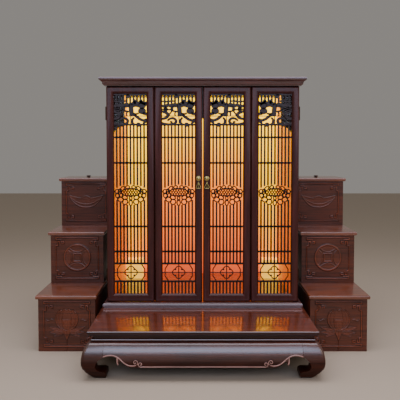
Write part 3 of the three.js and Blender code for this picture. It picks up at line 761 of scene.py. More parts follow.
@dataclass
class Platform:
    """The low table: moulded top, waist with its bead, swelling aprons and scroll legs.

    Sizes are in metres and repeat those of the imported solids.
    """

    shop: Workshop
    bulge: float = 22.4 * MM
    apron_sink: float = 1.0 * MM
    bead_rise: float = 0.9 * MM
    shoulder: float = 6 * MM
    leg_width: float = 59 * MM
    apron_back: float = 30 * MM
    bead_inset: float = 13 * MM
    waist_inset: float = 22 * MM
    rail: float = 24 * MM
    bead_line: float = 4.6 * MM
    swell: list = field(default_factory=lambda: [
        (0, -0.267), (0.06, 0.18), (0.22, 0.72), (0.44, 1), (0.62, 0.94), (0.76, 0.5), (0.87, -0.05),
        (0.95, -0.5), (1, -0.9),
    ])
    leg_inner: list = field(default_factory=lambda: [
        (0, 1.1), (0.35, 1.1), (0.41, 0.87), (0.49, 0.67), (0.6, 0.57), (0.69, 0.63), (0.745, 0.83), (0.757, 1.1),
        (0.81, 1.24), (0.92, 1.25), (1, 1.15),
    ])
    apron_end: list = field(default_factory=lambda: [
        (1.14, 0), (0.96, 0.1), (0.78, 0.26), (0.74, 0.33), (0.7, 0.2), (0.63, 0.09), (0.595, 0.155),
        (0.59, 0.29), (0.57, 0.42), (0.42, 0.472), (0.27, 0.478), (0.13, 0.46), (0, 0.433),
    ])

    def __post_init__(self) -> None:
        """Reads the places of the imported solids."""
        self.top_lo, self.top_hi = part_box("platform_top")
        self.apron_lo, self.apron_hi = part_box("apron_front")
        self.leg_height = self.apron_hi.z
        self.material = PLATFORM_WOOD.material(Grain.ALONG_X)

    def swelling(self, height: np.ndarray) -> np.ndarray:
        """How far the face stands past the top's edge at a height, from the smooth swelling line."""
        line = catmull_rom(self.swell, 160)
        share = 1 - np.asarray(height) / self.leg_height
        return np.interp(share, line[:, 0], line[:, 1] * self.bulge)

    def build(self) -> None:
        """Builds the whole platform."""
        self.build_top()
        self.build_waist()
        for side in ("front", "back", "left", "right"):
            self.build_apron(side)
        for corner in ("front_left", "front_right", "back_left", "back_right"):
            self.build_leg(corner)

    def build_top(self) -> None:
        """Top board: a full round nose over an undercut, the profile carried round its four edges."""
        foot, head = self.top_lo.z, self.top_hi.z
        thickness = head - foot
        profile = np.concatenate([
            [(7 * MM, foot), (5.5 * MM, foot + 1.5 * MM), (2 * MM, foot + 0.24 * thickness)],
            rounded_edge(0, foot + 0.3 * thickness, 2.5 * MM, upward=False),
            rounded_edge(0, head, 5 * MM, upward=True, count=7),
        ])
        shell = moulded(self.top_lo, self.top_hi, profile)
        # Undercut and lower round at tone 0, darkened as painted shade; the upper round rises to 0.5 as a painted
        # highlight on the top edge.
        nose = np.concatenate([np.zeros(8), np.linspace(0.0, 0.5, 7)])
        shell.tone = np.repeat(nose, 4)
        self.shop.piece("platform_top_board", shell, self.material, "platform_wood", replaces=["platform_top"])

    def build_waist(self) -> None:
        """Waist and bead: a half-round bead under a sunk band, mitred round the four sides."""
        foot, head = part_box("waist_front")[0].z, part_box("waist_front")[1].z
        bead_head = foot + 10 * MM
        angle = np.linspace(-np.pi / 2, np.pi / 2, 9)
        radius = (bead_head - foot) / 2
        bead = np.stack([
            self.bead_inset + radius * (1 - np.cos(angle)) * 0.8, foot + radius * (1 + np.sin(angle)),
        ], axis=1)
        inner = self.waist_inset + self.rail
        profile = np.concatenate([
            [(inner, foot)], bead, [(self.waist_inset, bead_head + 1 * MM), (self.waist_inset, head), (inner, head)],
        ])
        lo, hi = self.top_lo, self.top_hi
        inset, height = profile[:, 0], profile[:, 1]
        corners = [(lo.x + inset, lo.y + inset), (hi.x - inset, lo.y + inset), (hi.x - inset, hi.y - inset),
                   (lo.x + inset, hi.y - inset)]
        grid = np.stack([np.stack([x, y, height], axis=1) for x, y in corners], axis=0)
        shell = sweep(grid, closed=True)
        # Sunk band and inner side at tone 0, darkened as painted shade; the upper half of the bead at 0.2 as a painted
        # highlight.
        bead_painted_highlight = np.array([0, 0, 0, 0.02, 0.1, 0.2, 0.2, 0.1, 0])
        shell.tone = np.tile(np.concatenate([[0], bead_painted_highlight, np.zeros(3)]), len(corners))
        self.shop.piece(
            "platform_waist", shell, self.material, "platform_wood",
            replaces=[f"waist_{side}" for side in ("front", "back", "left", "right")],
        )

    def turned(self, shell: Shell, side: str) -> Shell:
        """Carries a shell made for the front to another side, by a turn about the upright axis."""
        turn = {"front": 0.0, "right": math.pi / 2, "back": math.pi, "left": -math.pi / 2}[side]
        cos, sin = round(math.cos(turn)), round(math.sin(turn))
        x, y = shell.points[:, 0].copy(), shell.points[:, 1].copy()
        shell.points[:, 0] = cos * x - sin * y
        shell.points[:, 1] = sin * x + cos * y
        return shell

    def build_apron(self, side: str) -> None:
        """Apron: at each place along it the swelling line runs from the top down to the carved edge.

        The carved edge has a bead line that ends in two small volutes near each leg.
        """
        along_y = side in ("left", "right")
        lo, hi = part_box(f"apron_{side}")
        reach = (hi.y - lo.y) / 2 if along_y else (hi.x - lo.x) / 2
        out = self.top_hi.x if along_y else self.top_hi.y
        foot, head = lo.z, hi.z
        drop = head - foot
        ends = np.array(self.apron_end)
        distance = np.concatenate([
            np.linspace(0, 1.2, 150) * drop, np.linspace(1.2 * drop, 2 * reach - 1.2 * drop, 60)[1:-1],
            2 * reach - np.linspace(1.2, 0, 150) * drop,
        ])
        along = np.minimum(distance, 2 * reach - distance) / drop
        edge = foot + drop * np.interp(along, ends[::-1, 0], ends[::-1, 1])
        x = distance - reach
        rows = np.linspace(0, 1, 18)
        z = head + (edge - head)[:, None] * rows
        face = np.stack([x[:, None] + 0 * z, -(out + self.swelling(z) - self.apron_sink), z], axis=-1)
        rear = face[:, ::-1].copy()
        rear[..., 1] = -(out - self.apron_back)
        beads, painted_groove_shade = self.apron_lines(reach, out, foot, drop)
        body = sweep(np.concatenate([face, rear], axis=1))
        # Tone 0.2 on the upper apron falling to 0 towards the carved edge: the lower apron darkened, with less coat, as
        # painted shade.
        body.tone = 0.2 * np.clip(((body.points[:, 2] - foot) / drop - 0.2) / 0.4, 0, 1)
        shell = self.turned(join([body, *painted_groove_shade]), side)
        grain = Grain.ALONG_Y if along_y else Grain.ALONG_X
        # The bead lines are made in the pale finish as a painted highlight.
        self.shop.piece(
            f"platform_apron_bead_{side}", self.turned(join(beads), side), BEAD_HIGHLIGHT_WOOD.material(grain), "platform_wood",
            smooth=math.radians(50),
        )
        self.shop.piece(
            f"platform_apron_{side}", shell, APRON_WOOD.material(grain), "platform_wood",
            replaces=[f"apron_{side}"], smooth=math.radians(50),
        )

    def apron_lines(
        self, reach: float, out: float, foot: float, drop: float,
    ) -> tuple[list[Shell], list[Shell]]:
        """Raised bead along the carved edge, and the volutes that end it, on the swelling face.

        Args:
            reach: half the length of the apron.
            out: distance of the top's edge from the middle.
            foot: height of the straight edge.
            drop: height of the apron.

        Returns:
            The raised lines, and the dark bands of painted shade round the volutes.
        """
        width, rise = self.bead_line, self.bead_rise
        lines = []
        for hand in (-1, 1):
            def placed(points: np.ndarray) -> np.ndarray:
                return np.stack([hand * (reach - points[:, 0] * drop), foot + points[:, 1] * drop], axis=1)
            arch = catmull_rom([(0.0, 0.455), (0.13, 0.493), (0.29, 0.517), (0.45, 0.5), (0.6, 0.44), (0.7, 0.375),
                                (0.8, 0.285), (0.9, 0.2), (1.02, 0.125), (1.15, 0.08), (1.3, 0.075), (1.41, 0.11)], 60)
            eye = spiral((1.375, 0.22), -math.pi * 0.3, 0.12, 0.02, 1.2)
            spur = catmull_rom([(0.6, 0.43), (0.6, 0.3), (0.61, 0.2), (0.65, 0.12)], 12)
            small = spiral((1.6, 0.14), -math.pi * 0.5, 0.112, 0.015, -1.15)
            lines += [placed(arch), placed(eye), placed(spur), placed(small)]
        straight = np.array([(-1, 0), (1, 0)]) * (reach - 1.6 * drop)
        lines.append(straight + np.array([0, foot + width * 0.55]))
        beads, painted_groove_shade = [], []
        for line in lines:
            volute = len(line) == 36
            face = -(out + self.swelling(line[:, 1]) - self.apron_sink)
            beads.append(strap(line, width * (0.8 if volute else 1), face - rise, rise + 2 * MM, ease=rise))
            if volute:
                # A wider, barely raised dark band under each volute at tone 0: painted shade of a groove.
                painted_groove_shade.append(strap(line, width * 2.4, face - 0.4 * MM, 1.4 * MM, ease=0.2 * MM).toned(0.0))
        return beads, painted_groove_shade

    def build_leg(self, corner: str) -> None:
        """Leg: rounded squares down its height, from the inner line to the swelling line on both axes."""
        rows = np.concatenate([np.linspace(0, 0.74, 34), np.linspace(0.745, 1, 30)])
        inner_line = np.array(self.leg_inner)
        inner = -np.interp(rows, inner_line[:, 0], inner_line[:, 1]) * self.leg_width
        line = catmull_rom(self.swell, 160)
        outer = np.interp(rows, line[:, 0], line[:, 1] * self.bulge)
        radii = np.array([14.0, 1.5, 4.0, 1.5]) * MM
        quarter = np.linspace(0, np.pi / 2, 7)
        offsets_x, offsets_y = [], []
        for k, radius in enumerate(radii):
            turn = k * np.pi / 2
            high_x, high_y = k in (0, 3), k in (0, 1)
            edge_x = outer[:, None] - radius if high_x else inner[:, None] + radius
            edge_y = outer[:, None] - radius if high_y else inner[:, None] + radius
            offsets_x.append(edge_x + radius * np.cos(quarter + turn))
            offsets_y.append(edge_y + radius * np.sin(quarter + turn))
        x, y = np.concatenate(offsets_x, 1), np.concatenate(offsets_y, 1)
        z = np.broadcast_to((self.leg_height * (1 - rows))[:, None], x.shape)
        side_x = -1 if corner.endswith("left") else 1
        side_y = -1 if corner.startswith("front") else 1
        grid = np.stack([side_x * (self.top_hi.x + x), side_y * (self.top_hi.y + y), z], axis=-1)
        shell = sweep(grid)
        # Tone 0.2 at the top falling to 0 below mid-height: the lower leg darkened, with less coat, as painted shade;
        # the top carries the apron's sheen.
        shell.tone = np.repeat(0.2 * np.clip((0.5 - rows) / 0.4, 0, 1), x.shape[1])
        self.shop.piece(
            f"platform_leg_{corner}", shell, APRON_WOOD.material(Grain.ALONG_X), "platform_wood",
            replaces=[f"leg_{corner}"], smooth=math.radians(60),
        )


# Cabinet case


@dataclass
class CabinetCase:
    """Moulded base and cornice, plain boards, the light panel and the two lamps."""

    shop: Workshop
    back_wall: float = 12.3 * MM

    def build(self) -> None:
        """Builds and dresses the case."""
        self.build_base()
        self.build_cornice()
        upright = ROSEWOOD.material(Grain.ALONG_Z)
        lo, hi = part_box("glow_panel")
        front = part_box("cabinet_valance")[1].y
        # The inner faces of the side boards glow amber behind the valance: painted glow of the cabinet's light on them.
        painted_glow_lining = AmberLight(
            lo.z, hi.z, front, name="amber_lit_lining", head="#f08c1c", waist="#ea6418", foot="#c8430e", strength=0.8,
        ).material()
        for side in Side:
            self.shop.dress(f"cabinet_side_{side.word}", upright)
            self.shop.line_inside(f"cabinet_side_{side.word}", side, painted_glow_lining)
            self.shop.dress(f"lamp_{side.word}", SHADE.material())
        self.shop.dress("cabinet_back", upright)
        self.shop.dress("cabinet_valance", SMOKED_WOOD.material(Grain.ALONG_Z))
        self.shop.dress("glow_panel", AmberLight(lo.z, hi.z, front).material())

    def build_base(self) -> None:
        """Base board: a flat edge under a large quarter round, the profile carried round three sides."""
        lo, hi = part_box("cabinet_base")
        foot, head = lo.z, hi.z
        profile = np.concatenate([
            [(4 * MM, foot), (4 * MM, foot + 3.5 * MM), (1 * MM, foot + 4.5 * MM)],
            rounded_edge(0, head - 1.5 * MM, 11 * MM, upward=True, count=10),
            [(12 * MM, head)],
        ])
        shell = moulded(lo, hi, profile, back_inset=0.0)
        self.shop.piece("cabinet_base_moulding", shell, ROSEWOOD_POLISHED.material(Grain.ALONG_X), "rosewood",
                        replaces=["cabinet_base"])

    def build_cornice(self) -> None:
        """Cornice: bead, fillet and a long ogee up to a round nose, hollowed over the cabinet."""
        lo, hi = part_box("cabinet_cornice")
        foot, head = lo.z, hi.z
        height = head - foot
        curve = catmull_rom([(0.48, 0.34), (0.44, 0.42), (0.3, 0.52), (0.12, 0.6), (0.06, 0.66)], 14)
        curve *= (28 * MM, height)
        profile = np.concatenate([
            [(60 * MM, foot + 18 * MM), (60 * MM, foot), (21 * MM, foot), (20.5 * MM, foot + 0.8 * MM),
             (20 * MM, foot + 3 * MM), (16 * MM, foot + 4.5 * MM), (14.5 * MM, foot + 6.5 * MM),
             (14 * MM, foot + 9 * MM), (13.5 * MM, foot + 12.5 * MM)],
            curve + (0, foot),
            rounded_edge(0, head - 12 * MM, 1.2 * MM, upward=False, count=3),
            rounded_edge(0, head, 4.5 * MM, upward=True, count=7),
        ])
        back_inset = np.where(np.arange(len(profile)) < 2, self.back_wall, 0.0)
        shell = moulded(lo, hi, profile, back_inset)
        self.shop.piece("cabinet_cornice_moulding", shell, ROSEWOOD_POLISHED.material(Grain.ALONG_X), "rosewood",
                        replaces=["cabinet_cornice"])


# Doors


@dataclass
class LatticeDesign:
    """The pierced panel of a leaf, in its own plane: X from its middle and Z from the opening's foot.

    All sizes are in millimetres.
    """

    width: float = 144.0
    height: float = 889.0
    bar: float = 7.6
    rail: float = 8.6
    slots: int = 10
    foot_band: float = 55.0
    coin_band: float = 80.0
    cloud_band: float = 136.0
    rails: tuple[float, ...] = (189.0, 301.0, 584.0, 697.0)
    pod: tuple[float, float] = (0.0, 453.5)
    pod_radii: tuple[float, float] = (41.0, 17.0)
    net: float = 11.6
    line: float = 5.2
    margin: float = 5.7
    cloud_weight: float = 1.25

    def bars(self) -> list[tuple[np.ndarray, float]]:
        """Straight bars: the border, the cross rails and the nine uprights, broken at the motifs."""
        half, top = self.width / 2, self.height
        coin_foot, field_foot = self.foot_band, self.foot_band + self.coin_band
        cloud_foot = top - self.cloud_band
        edge = self.margin
        pieces: list[tuple[np.ndarray, float]] = []
        for x in (-1, 1):
            pieces.append((np.array([(x * (half + edge / 2), -edge), (x * (half + edge / 2), top + edge)]), edge))
        for z in (-edge / 2, top + edge / 2):
            pieces.append((np.array([(-half - edge, z), (half + edge, z)]), edge))
        for z in (coin_foot, field_foot, cloud_foot, *self.rails):
            pieces.append((np.array([(-half - 1, z), (half + 1, z)]), self.rail))
        pitch = (self.width + self.bar) / self.slots
        for index in range(1, self.slots):
            x = -half + index * pitch - self.bar / 2
            spread = math.sqrt(max(0.0, 1 - (x / (half * 1.05)) ** 2))
            low, high = self.pod[1] - 57 * spread, self.pod[1] + 34 * spread
            for z0, z1 in ((-1, coin_foot), (field_foot, low), (high, cloud_foot)):
                pieces.append((np.array([(x, z0), (x, z1)]), self.bar))
            pieces.append((np.array([(x, top - 54), (x, top + 1)]), self.bar * 1.15))
        return pieces

    def medallion(self) -> list[tuple[np.ndarray, float, bool]]:
        """Lotus medallion: a netted seed pod, a ring of petals and a second ring with a pointed foot."""
        cx, cz = self.pod
        a, b = self.pod_radii
        lines: list[tuple[np.ndarray, float, bool]] = [(ellipse_line(self.pod, (a, b), 40), self.line, True)]
        for lean in (-0.7, 0.7):
            for shift in np.arange(-4.5, 5) * self.net:
                square = (lean / a) ** 2 + 1 / b**2
                half = shift * lean / a**2
                inside = half**2 - square * ((shift / a) ** 2 - 1)
                if inside <= 0:
                    continue
                spread = math.sqrt(inside)
                ends = [(cx + shift + lean * z, cz + z) for z in ((-half - spread) / square, (-half + spread) / square)]
                lines.append((np.array(ends), self.net * 0.36, False))
        petal = np.array([(0.0, 0.0), (0.2, 0.42), (0.55, 0.52), (0.85, 0.34), (1.0, 0.0)])
        outline = np.concatenate([petal, petal[-2:0:-1] * (1, -1)])
        rings = (
            (11, (1.0, 1.0), (56, 31, 37), 1.0, 0.0),
            (15, (52, 24, 33), (69.5, 34, 60), 1.0, 0.0),
        )
        for count, start, end, spread, phase in rings:
            angles = (np.arange(count) + phase) / count * 2 * np.pi - np.pi / 2
            if len(start) == 3:
                angles = angles[np.sin(angles) < 0.3]
            for angle in angles:
                up = math.sin(angle) > 0
                c, s = math.cos(angle), math.sin(angle)
                if len(start) == 2:
                    near = np.array([cx + a * c, cz + b * s])
                else:
                    near = np.array([cx + start[0] * c, cz + (start[1] if up else start[2]) * s])
                far = np.array([cx + end[0] * c, cz + (end[1] if up else end[2]) * s])
                axis = far - near
                length = float(np.linalg.norm(axis))
                axis /= length
                normal = np.array([-axis[1], axis[0]])
                middle = (near + far) / 2
                reach = math.hypot((middle[0] - cx) * s, (middle[1] - cz) * c) + math.hypot(middle[0] - cx, middle[1] - cz)
                breadth = reach * 2 * math.pi / count * 0.72 * spread
                points = near + outline[:, :1] * axis * length + outline[:, 1:] * normal * breadth
                points[:, 0] = np.clip(points[:, 0], -self.width / 2 - 1, self.width / 2 + 1)
                lines.append((points, self.line, True))
        return lines

    def coin(self) -> list[tuple[np.ndarray, float, bool]]:
        """Coin panel: cross lines, a frame with cut corners and a four-lobed ring with dots."""
        cz = self.foot_band + self.coin_band / 2
        half, top = self.width / 2, self.coin_band / 2
        side, cut_x, cut_z = 61.0, 45.0, 15.0
        lines: list[tuple[np.ndarray, float, bool]] = [
            (np.array([(-half - 1, cz), (half + 1, cz)]), 4.2, False),
            (np.array([(0, cz - top), (0, cz + top)]), 4.2, False),
        ]
        for x in (-1, 1):
            frame = [(cut_x, top), (side, cut_z), (side, -cut_z), (cut_x, -top)]
            lines.append((np.array([(x * u, cz + v) for u, v in frame]), 4.4, False))
        angle = np.linspace(0, 2 * np.pi, 64, endpoint=False)
        radius = 25.3 + 2.7 * np.cos(4 * angle)
        lines.append((np.stack([radius * np.cos(angle), cz + radius * np.sin(angle)], axis=1), 4.2, True))
        for x in (-1, 1):
            for z in (-1, 1):
                dot = (x * 14.0, cz + z * 13.5)
                lines.append((ellipse_line(dot, (1.9, 1.9), 12), 3.7, True))
                lines.append((np.array([dot, (x * 17.5, cz + z * 17.0)]), 3.6, False))
        return lines

    def clouds(self) -> list[tuple[np.ndarray, float | np.ndarray, bool]]:
        """Cloud panel: a stem with volutes and, towards the middle of the cabinet, one solid cloud.

        The lines are given from the outer stile, 0 to 144 mm, and up from the panel's own foot.
        """
        foot, half = self.height - self.cloud_band, self.width / 2
        lines: list[tuple[np.ndarray, float | np.ndarray, bool]] = [
            (np.array([(-half - 1, foot + 38), (half + 1, foot + 38)]), 3.4, False),
            (np.array([(2, foot), (2, foot + 38)]), 3.8, False),
        ]
        strokes = [
            ([(76, 36), (77, 58), (75, 76), (76, 92)], 17.0, 12.0),
            ([(-1, 84), (14, 79), (25, 86), (41, 83), (57, 90), (70, 86)], 12.5, 8.0),
            ([(76, 88), (90, 98), (104, 92), (118, 99), (131, 94), (146, 98)], 12.0, 8.0),
            ([(-1, 103), (20, 101), (40, 104), (56, 103)], 6.5, 5.0),
            ([(-1, 133), (20, 131), (48, 133), (62, 131), (100, 132), (146, 132)], 7.0, 5.0),
            ([(86, 46), (96, 38), (108, 29), (118, 23), (131, 19), (146, 24)], 11.0, 7.0),
            ([(90, 32), (81, 20), (84, 5), (100, -1)], 9.0, 5.0),
            ([(-1, 8), (14, 3), (36, 1), (56, 6), (61, 18), (50, 28), (34, 26), (23, 17)], 10.0, 6.0),
            ([(34, 13), (40, 12), (46, 13)], 7.0, 5.0),
            ([(-1, 25), (14, 29), (24, 38), (22, 50), (8, 56), (-1, 59)], 12.0, 7.0),
            ([(44, 62), (58, 58), (70, 58)], 7.0, 5.0),
            ([(46, 78), (58, 81), (70, 80)], 8.0, 6.0),
            ([(84, 51), (96, 47), (110, 50)], 7.0, 5.0),
            ([(84, 80), (96, 84), (110, 80)], 9.0, 7.0),
            ([(-1, 68), (14, 68), (30, 66), (44, 68)], 6.0, 4.5),
            ([(30, 38), (34, 48), (42, 58)], 6.0, 5.0),
            ([(58, 38), (56, 48), (60, 58)], 5.5, 4.5),
            ([(96, 38), (94, 48)], 5.5, 4.5),
            ([(128, 50), (146, 47)], 11.0, 9.0),
            ([(132, 92), (146, 88)], 12.0, 9.0),
            ([(130, -1), (134, 10), (146, 13)], 8.5, 6.0),
        ]
        for points, thick, thin in strokes:
            line = catmull_rom(points, 44) + (-half, foot)
            share = np.sin(np.linspace(0.08, 0.94, len(line)) * np.pi)
            lines.append((line, self.cloud_weight * (share * (thick - thin) + thin), False))
        clouds = [
            ((15.5, 68), (10, 12)), ((43, 68), (7.5, 12)), ((124, 60), (18, 15)), ((124, 84), (17, 16)),
            ((108, 0), (11, 10)), ((62, 126), (8, 11)), ((92.5, 100), (7, 12)), ((119, 104), (8, 8)),
        ]
        for (u, w), (across, up) in clouds:
            share = np.linspace(-0.985, 0.985, 24)
            line = np.stack([0 * share + u - half, w + foot + up * share], axis=1)
            lines.append((line, 2 * across * np.sqrt(1 - share**2), False))
        return lines


@dataclass
class DoorLeaf:
    """One leaf: frame, pierced lattice and glass.

    Attributes:
        shop: the workshop.
        side: half of the object that the leaf belongs to.
        place: outer, beside the case, or inner, beside the middle.
        design: the lattice's pattern.
    """

    shop: Workshop
    side: Side
    place: str
    design: LatticeDesign
    stile: float = 33 * MM
    top_rail: float = 30 * MM
    bottom_rail: float = 35 * MM
    lip: float = 8 * MM
    rebate: float = 6 * MM
    chamfer: float = 10 * MM
    edge_round: float = 7.5 * MM

    @property
    def body(self) -> str:
        """Body that the leaf moves with."""
        return f"{self.side.word}_{self.place}_door"

    def build(self) -> None:
        """Builds the leaf."""
        self.build_frame()
        self.build_lattice()
        self.shop.dress(f"door_glass_{self.side.word}_{self.place}", GLASS.material())

    def build_frame(self) -> None:
        """Frame: a round outer edge, a flat, and a hollow chamfer to the opening, mitred at four corners."""
        node = f"door_frame_{self.side.word}_{self.place}"
        lo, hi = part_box(node)
        quarter = np.linspace(0, np.pi / 2, 6)
        r = self.edge_round
        outer = np.stack([r * (1 - np.cos(quarter)), lo.y + r * (1 - np.sin(quarter))], axis=1)
        slope = np.linspace(0, 1, 5)
        hollow = np.stack([
            self.chamfer * (1 - slope * 0.85), lo.y + (self.lip - 1.5 * MM) * (1 - np.cos(slope * np.pi / 2)),
        ], axis=1)
        inner = np.concatenate([
            hollow, [(0, lo.y + self.lip), (-0.0, lo.y + self.lip + 0.2 * MM), (self.rebate, lo.y + self.lip + 0.2 * MM),
                     (self.rebate, hi.y)],
        ])
        from_outer = np.concatenate([[(0, hi.y)], outer])
        widths = {"x": self.stile, "foot": self.bottom_rail, "head": self.top_rail}
        rows = []
        for sx, sz in ((-1, -1), (1, -1), (1, 1), (-1, 1)):
            wide = widths["foot"] if sz < 0 else widths["head"]
            in_x = np.concatenate([from_outer[:, 0], widths["x"] - inner[:, 0]])
            in_z = np.concatenate([from_outer[:, 0], wide - inner[:, 0]])
            y = np.concatenate([from_outer[:, 1], inner[:, 1]])
            x = lo.x + in_x if sx < 0 else hi.x - in_x
            z = lo.z + in_z if sz < 0 else hi.z - in_z
            rows.append(np.stack([x, y, z], axis=1))
        self.shop.piece(
            f"leaf_frame_{self.side.word}_{self.place}", sweep(np.array(rows), closed=True),
            ROSEWOOD.material(Grain.ALONG_Z), "rosewood", self.body, [node],
        )

    def build_lattice(self) -> None:
        """Lattice: every bar and carved line of the design as a strap of its own depth."""
        node = f"door_lattice_{self.side.word}_{self.place}"
        lo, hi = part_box(node)
        middle = (lo.x + hi.x) / 2
        foot = lo.z + self.design.margin * MM
        depth = hi.y - lo.y
        origin = np.array([middle, foot])
        shells = []
        for points, width in self.design.bars():
            shells.append(strap(points * MM + origin, width * MM, lo.y + 0.6 * MM, depth - 0.6 * MM).toned(0.05))
        figures = [*self.design.medallion(), *self.design.coin(), *self.design.clouds()]
        for points, width, closed in figures:
            points = points * (-self.side.value, 1)
            shells.append(strap(
                points * MM + origin, np.asarray(width) * MM, lo.y, depth - 1 * MM, ease=1.1 * MM, closed=closed,
            ).toned(0.12))
        self.shop.piece(
            f"leaf_lattice_{self.side.word}_{self.place}", join(shells), ROSEWOOD_CARVED.material(Grain.ALONG_Z),
            "rosewood", self.body, [node],
        )


@dataclass
class DoorHardware:
    """Brass knobs, pierced drops and hinges."""

    shop: Workshop
    pin_gap: float = 0.5 * MM

    def build(self) -> None:
        """Builds the handles and hinges of both pairs."""
        for side in Side:
            self.build_knob(side)
            self.build_pull(side)
            for hinge in (f"outer_{side.word}_lower", f"outer_{side.word}_upper", f"fold_{side.word}"):
                self.shop.dress(f"hinge_{hinge}", BRONZE.material())
            self.build_hinge_ends(side)

    def build_hinge_ends(self, side: Side) -> None:
        """Pin ends of the long hinge between two leaves: plain rods on its axis, above and below it."""
        hinge_lo, hinge_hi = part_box(f"hinge_fold_{side.word}")
        leaf_lo, leaf_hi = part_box(f"door_frame_{side.word}_outer")
        radius = 3 * MM
        axis_x = hinge_lo.x + radius if side is Side.RIGHT else hinge_hi.x - radius
        axis_y = hinge_hi.y - radius
        turn = np.linspace(0, 2 * np.pi, 16, endpoint=False)
        shells = []
        for foot, head in ((leaf_lo.z + self.pin_gap, hinge_lo.z), (hinge_hi.z, leaf_hi.z - self.pin_gap)):
            shells.append(sweep(np.stack([np.stack([
                axis_x + radius * np.cos(turn), axis_y + radius * np.sin(turn), np.full(16, z),
            ], axis=1) for z in (foot, head)])))
        self.shop.piece(f"fold_hinge_pin_{side.word}", join(shells), BRONZE.material(), "dark_bronze",
                        f"{side.word}_outer_door")

    def build_knob(self, side: Side) -> None:
        """Knob: a round rose with a stepped rim and a domed boss, turned about the way out of the door."""
        node = f"knob_{side.word}"
        lo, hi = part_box(node)
        centre = (lo + hi) / 2
        centre.y = hi.y
        radius, reach = (hi.z - lo.z) / 2, hi.y - lo.y
        dome = np.linspace(0.0, np.pi / 2, 9)
        profile = np.concatenate([
            [(radius * 0.05, 0.0), (radius, 0.0)],
            [(radius, 0.18 * reach), (radius * 0.94, 0.27 * reach), (radius * 0.8, 0.3 * reach), (radius * 0.74, 0.36 * reach)],
            np.stack([radius * 0.7 * np.cos(dome), 0.38 * reach + 0.62 * reach * np.sin(dome)], axis=1)[:-1],
            [(radius * 0.03, reach)],
        ])
        self.shop.piece(f"door_knob_{side.word}", revolve(profile, centre), BRASS.material(), "brass",
                        f"{side.word}_inner_door", [node], smooth=math.radians(50))

    def build_pull(self, side: Side) -> None:
        """Drop: a bell-shaped loop with a middle bar and a foot, and a short neck up to the pivot."""
        node = f"pull_{side.word}"
        lo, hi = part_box(node)
        x, half = (lo.x + hi.x) / 2, (hi.x - lo.x) / 2
        top, length = hi.z, hi.z - lo.z
        wire = 2.6 * MM
        inset = wire / 2
        right = catmull_rom([
            (0.0, -0.3), (0.3, -0.33), (0.52, -0.5), (0.82, -0.68), (0.88, -0.86), (0.5, -0.94), (0.0, -0.955),
        ], 30) * (half, length)
        loop = np.concatenate([right, right[-2:0:-1] * (-1, 1)]) + (x, top)
        loop[:, 0] = np.clip(loop[:, 0], lo.x + inset, hi.x - inset)
        neck = np.array([(x, top - 0.4 * MM), (x, top - 0.34 * length)])
        middle = np.array([(x, top - 0.3 * length), (x, top - 0.93 * length)])
        depth = hi.y - lo.y
        shells = [
            strap(loop, wire, lo.y, depth, ease=0.8 * MM, closed=True),
            strap(neck, np.array([4.6, 5.6]) * MM, lo.y, depth, ease=1 * MM),
            strap(middle, 2.4 * MM, lo.y + 0.3 * MM, depth - 0.6 * MM, ease=0.7 * MM),
        ]
        self.shop.piece(f"door_pull_{side.word}", join(shells), BRASS.material(), "brass",
                        f"{side.word}_pull", [node], smooth=math.radians(50))


# Stands


class Motif(Enum):
    """Carving on the three box fronts of a stand."""

    LOTUS = "lower"
    COIN = "middle"
    INGOT = "upper"


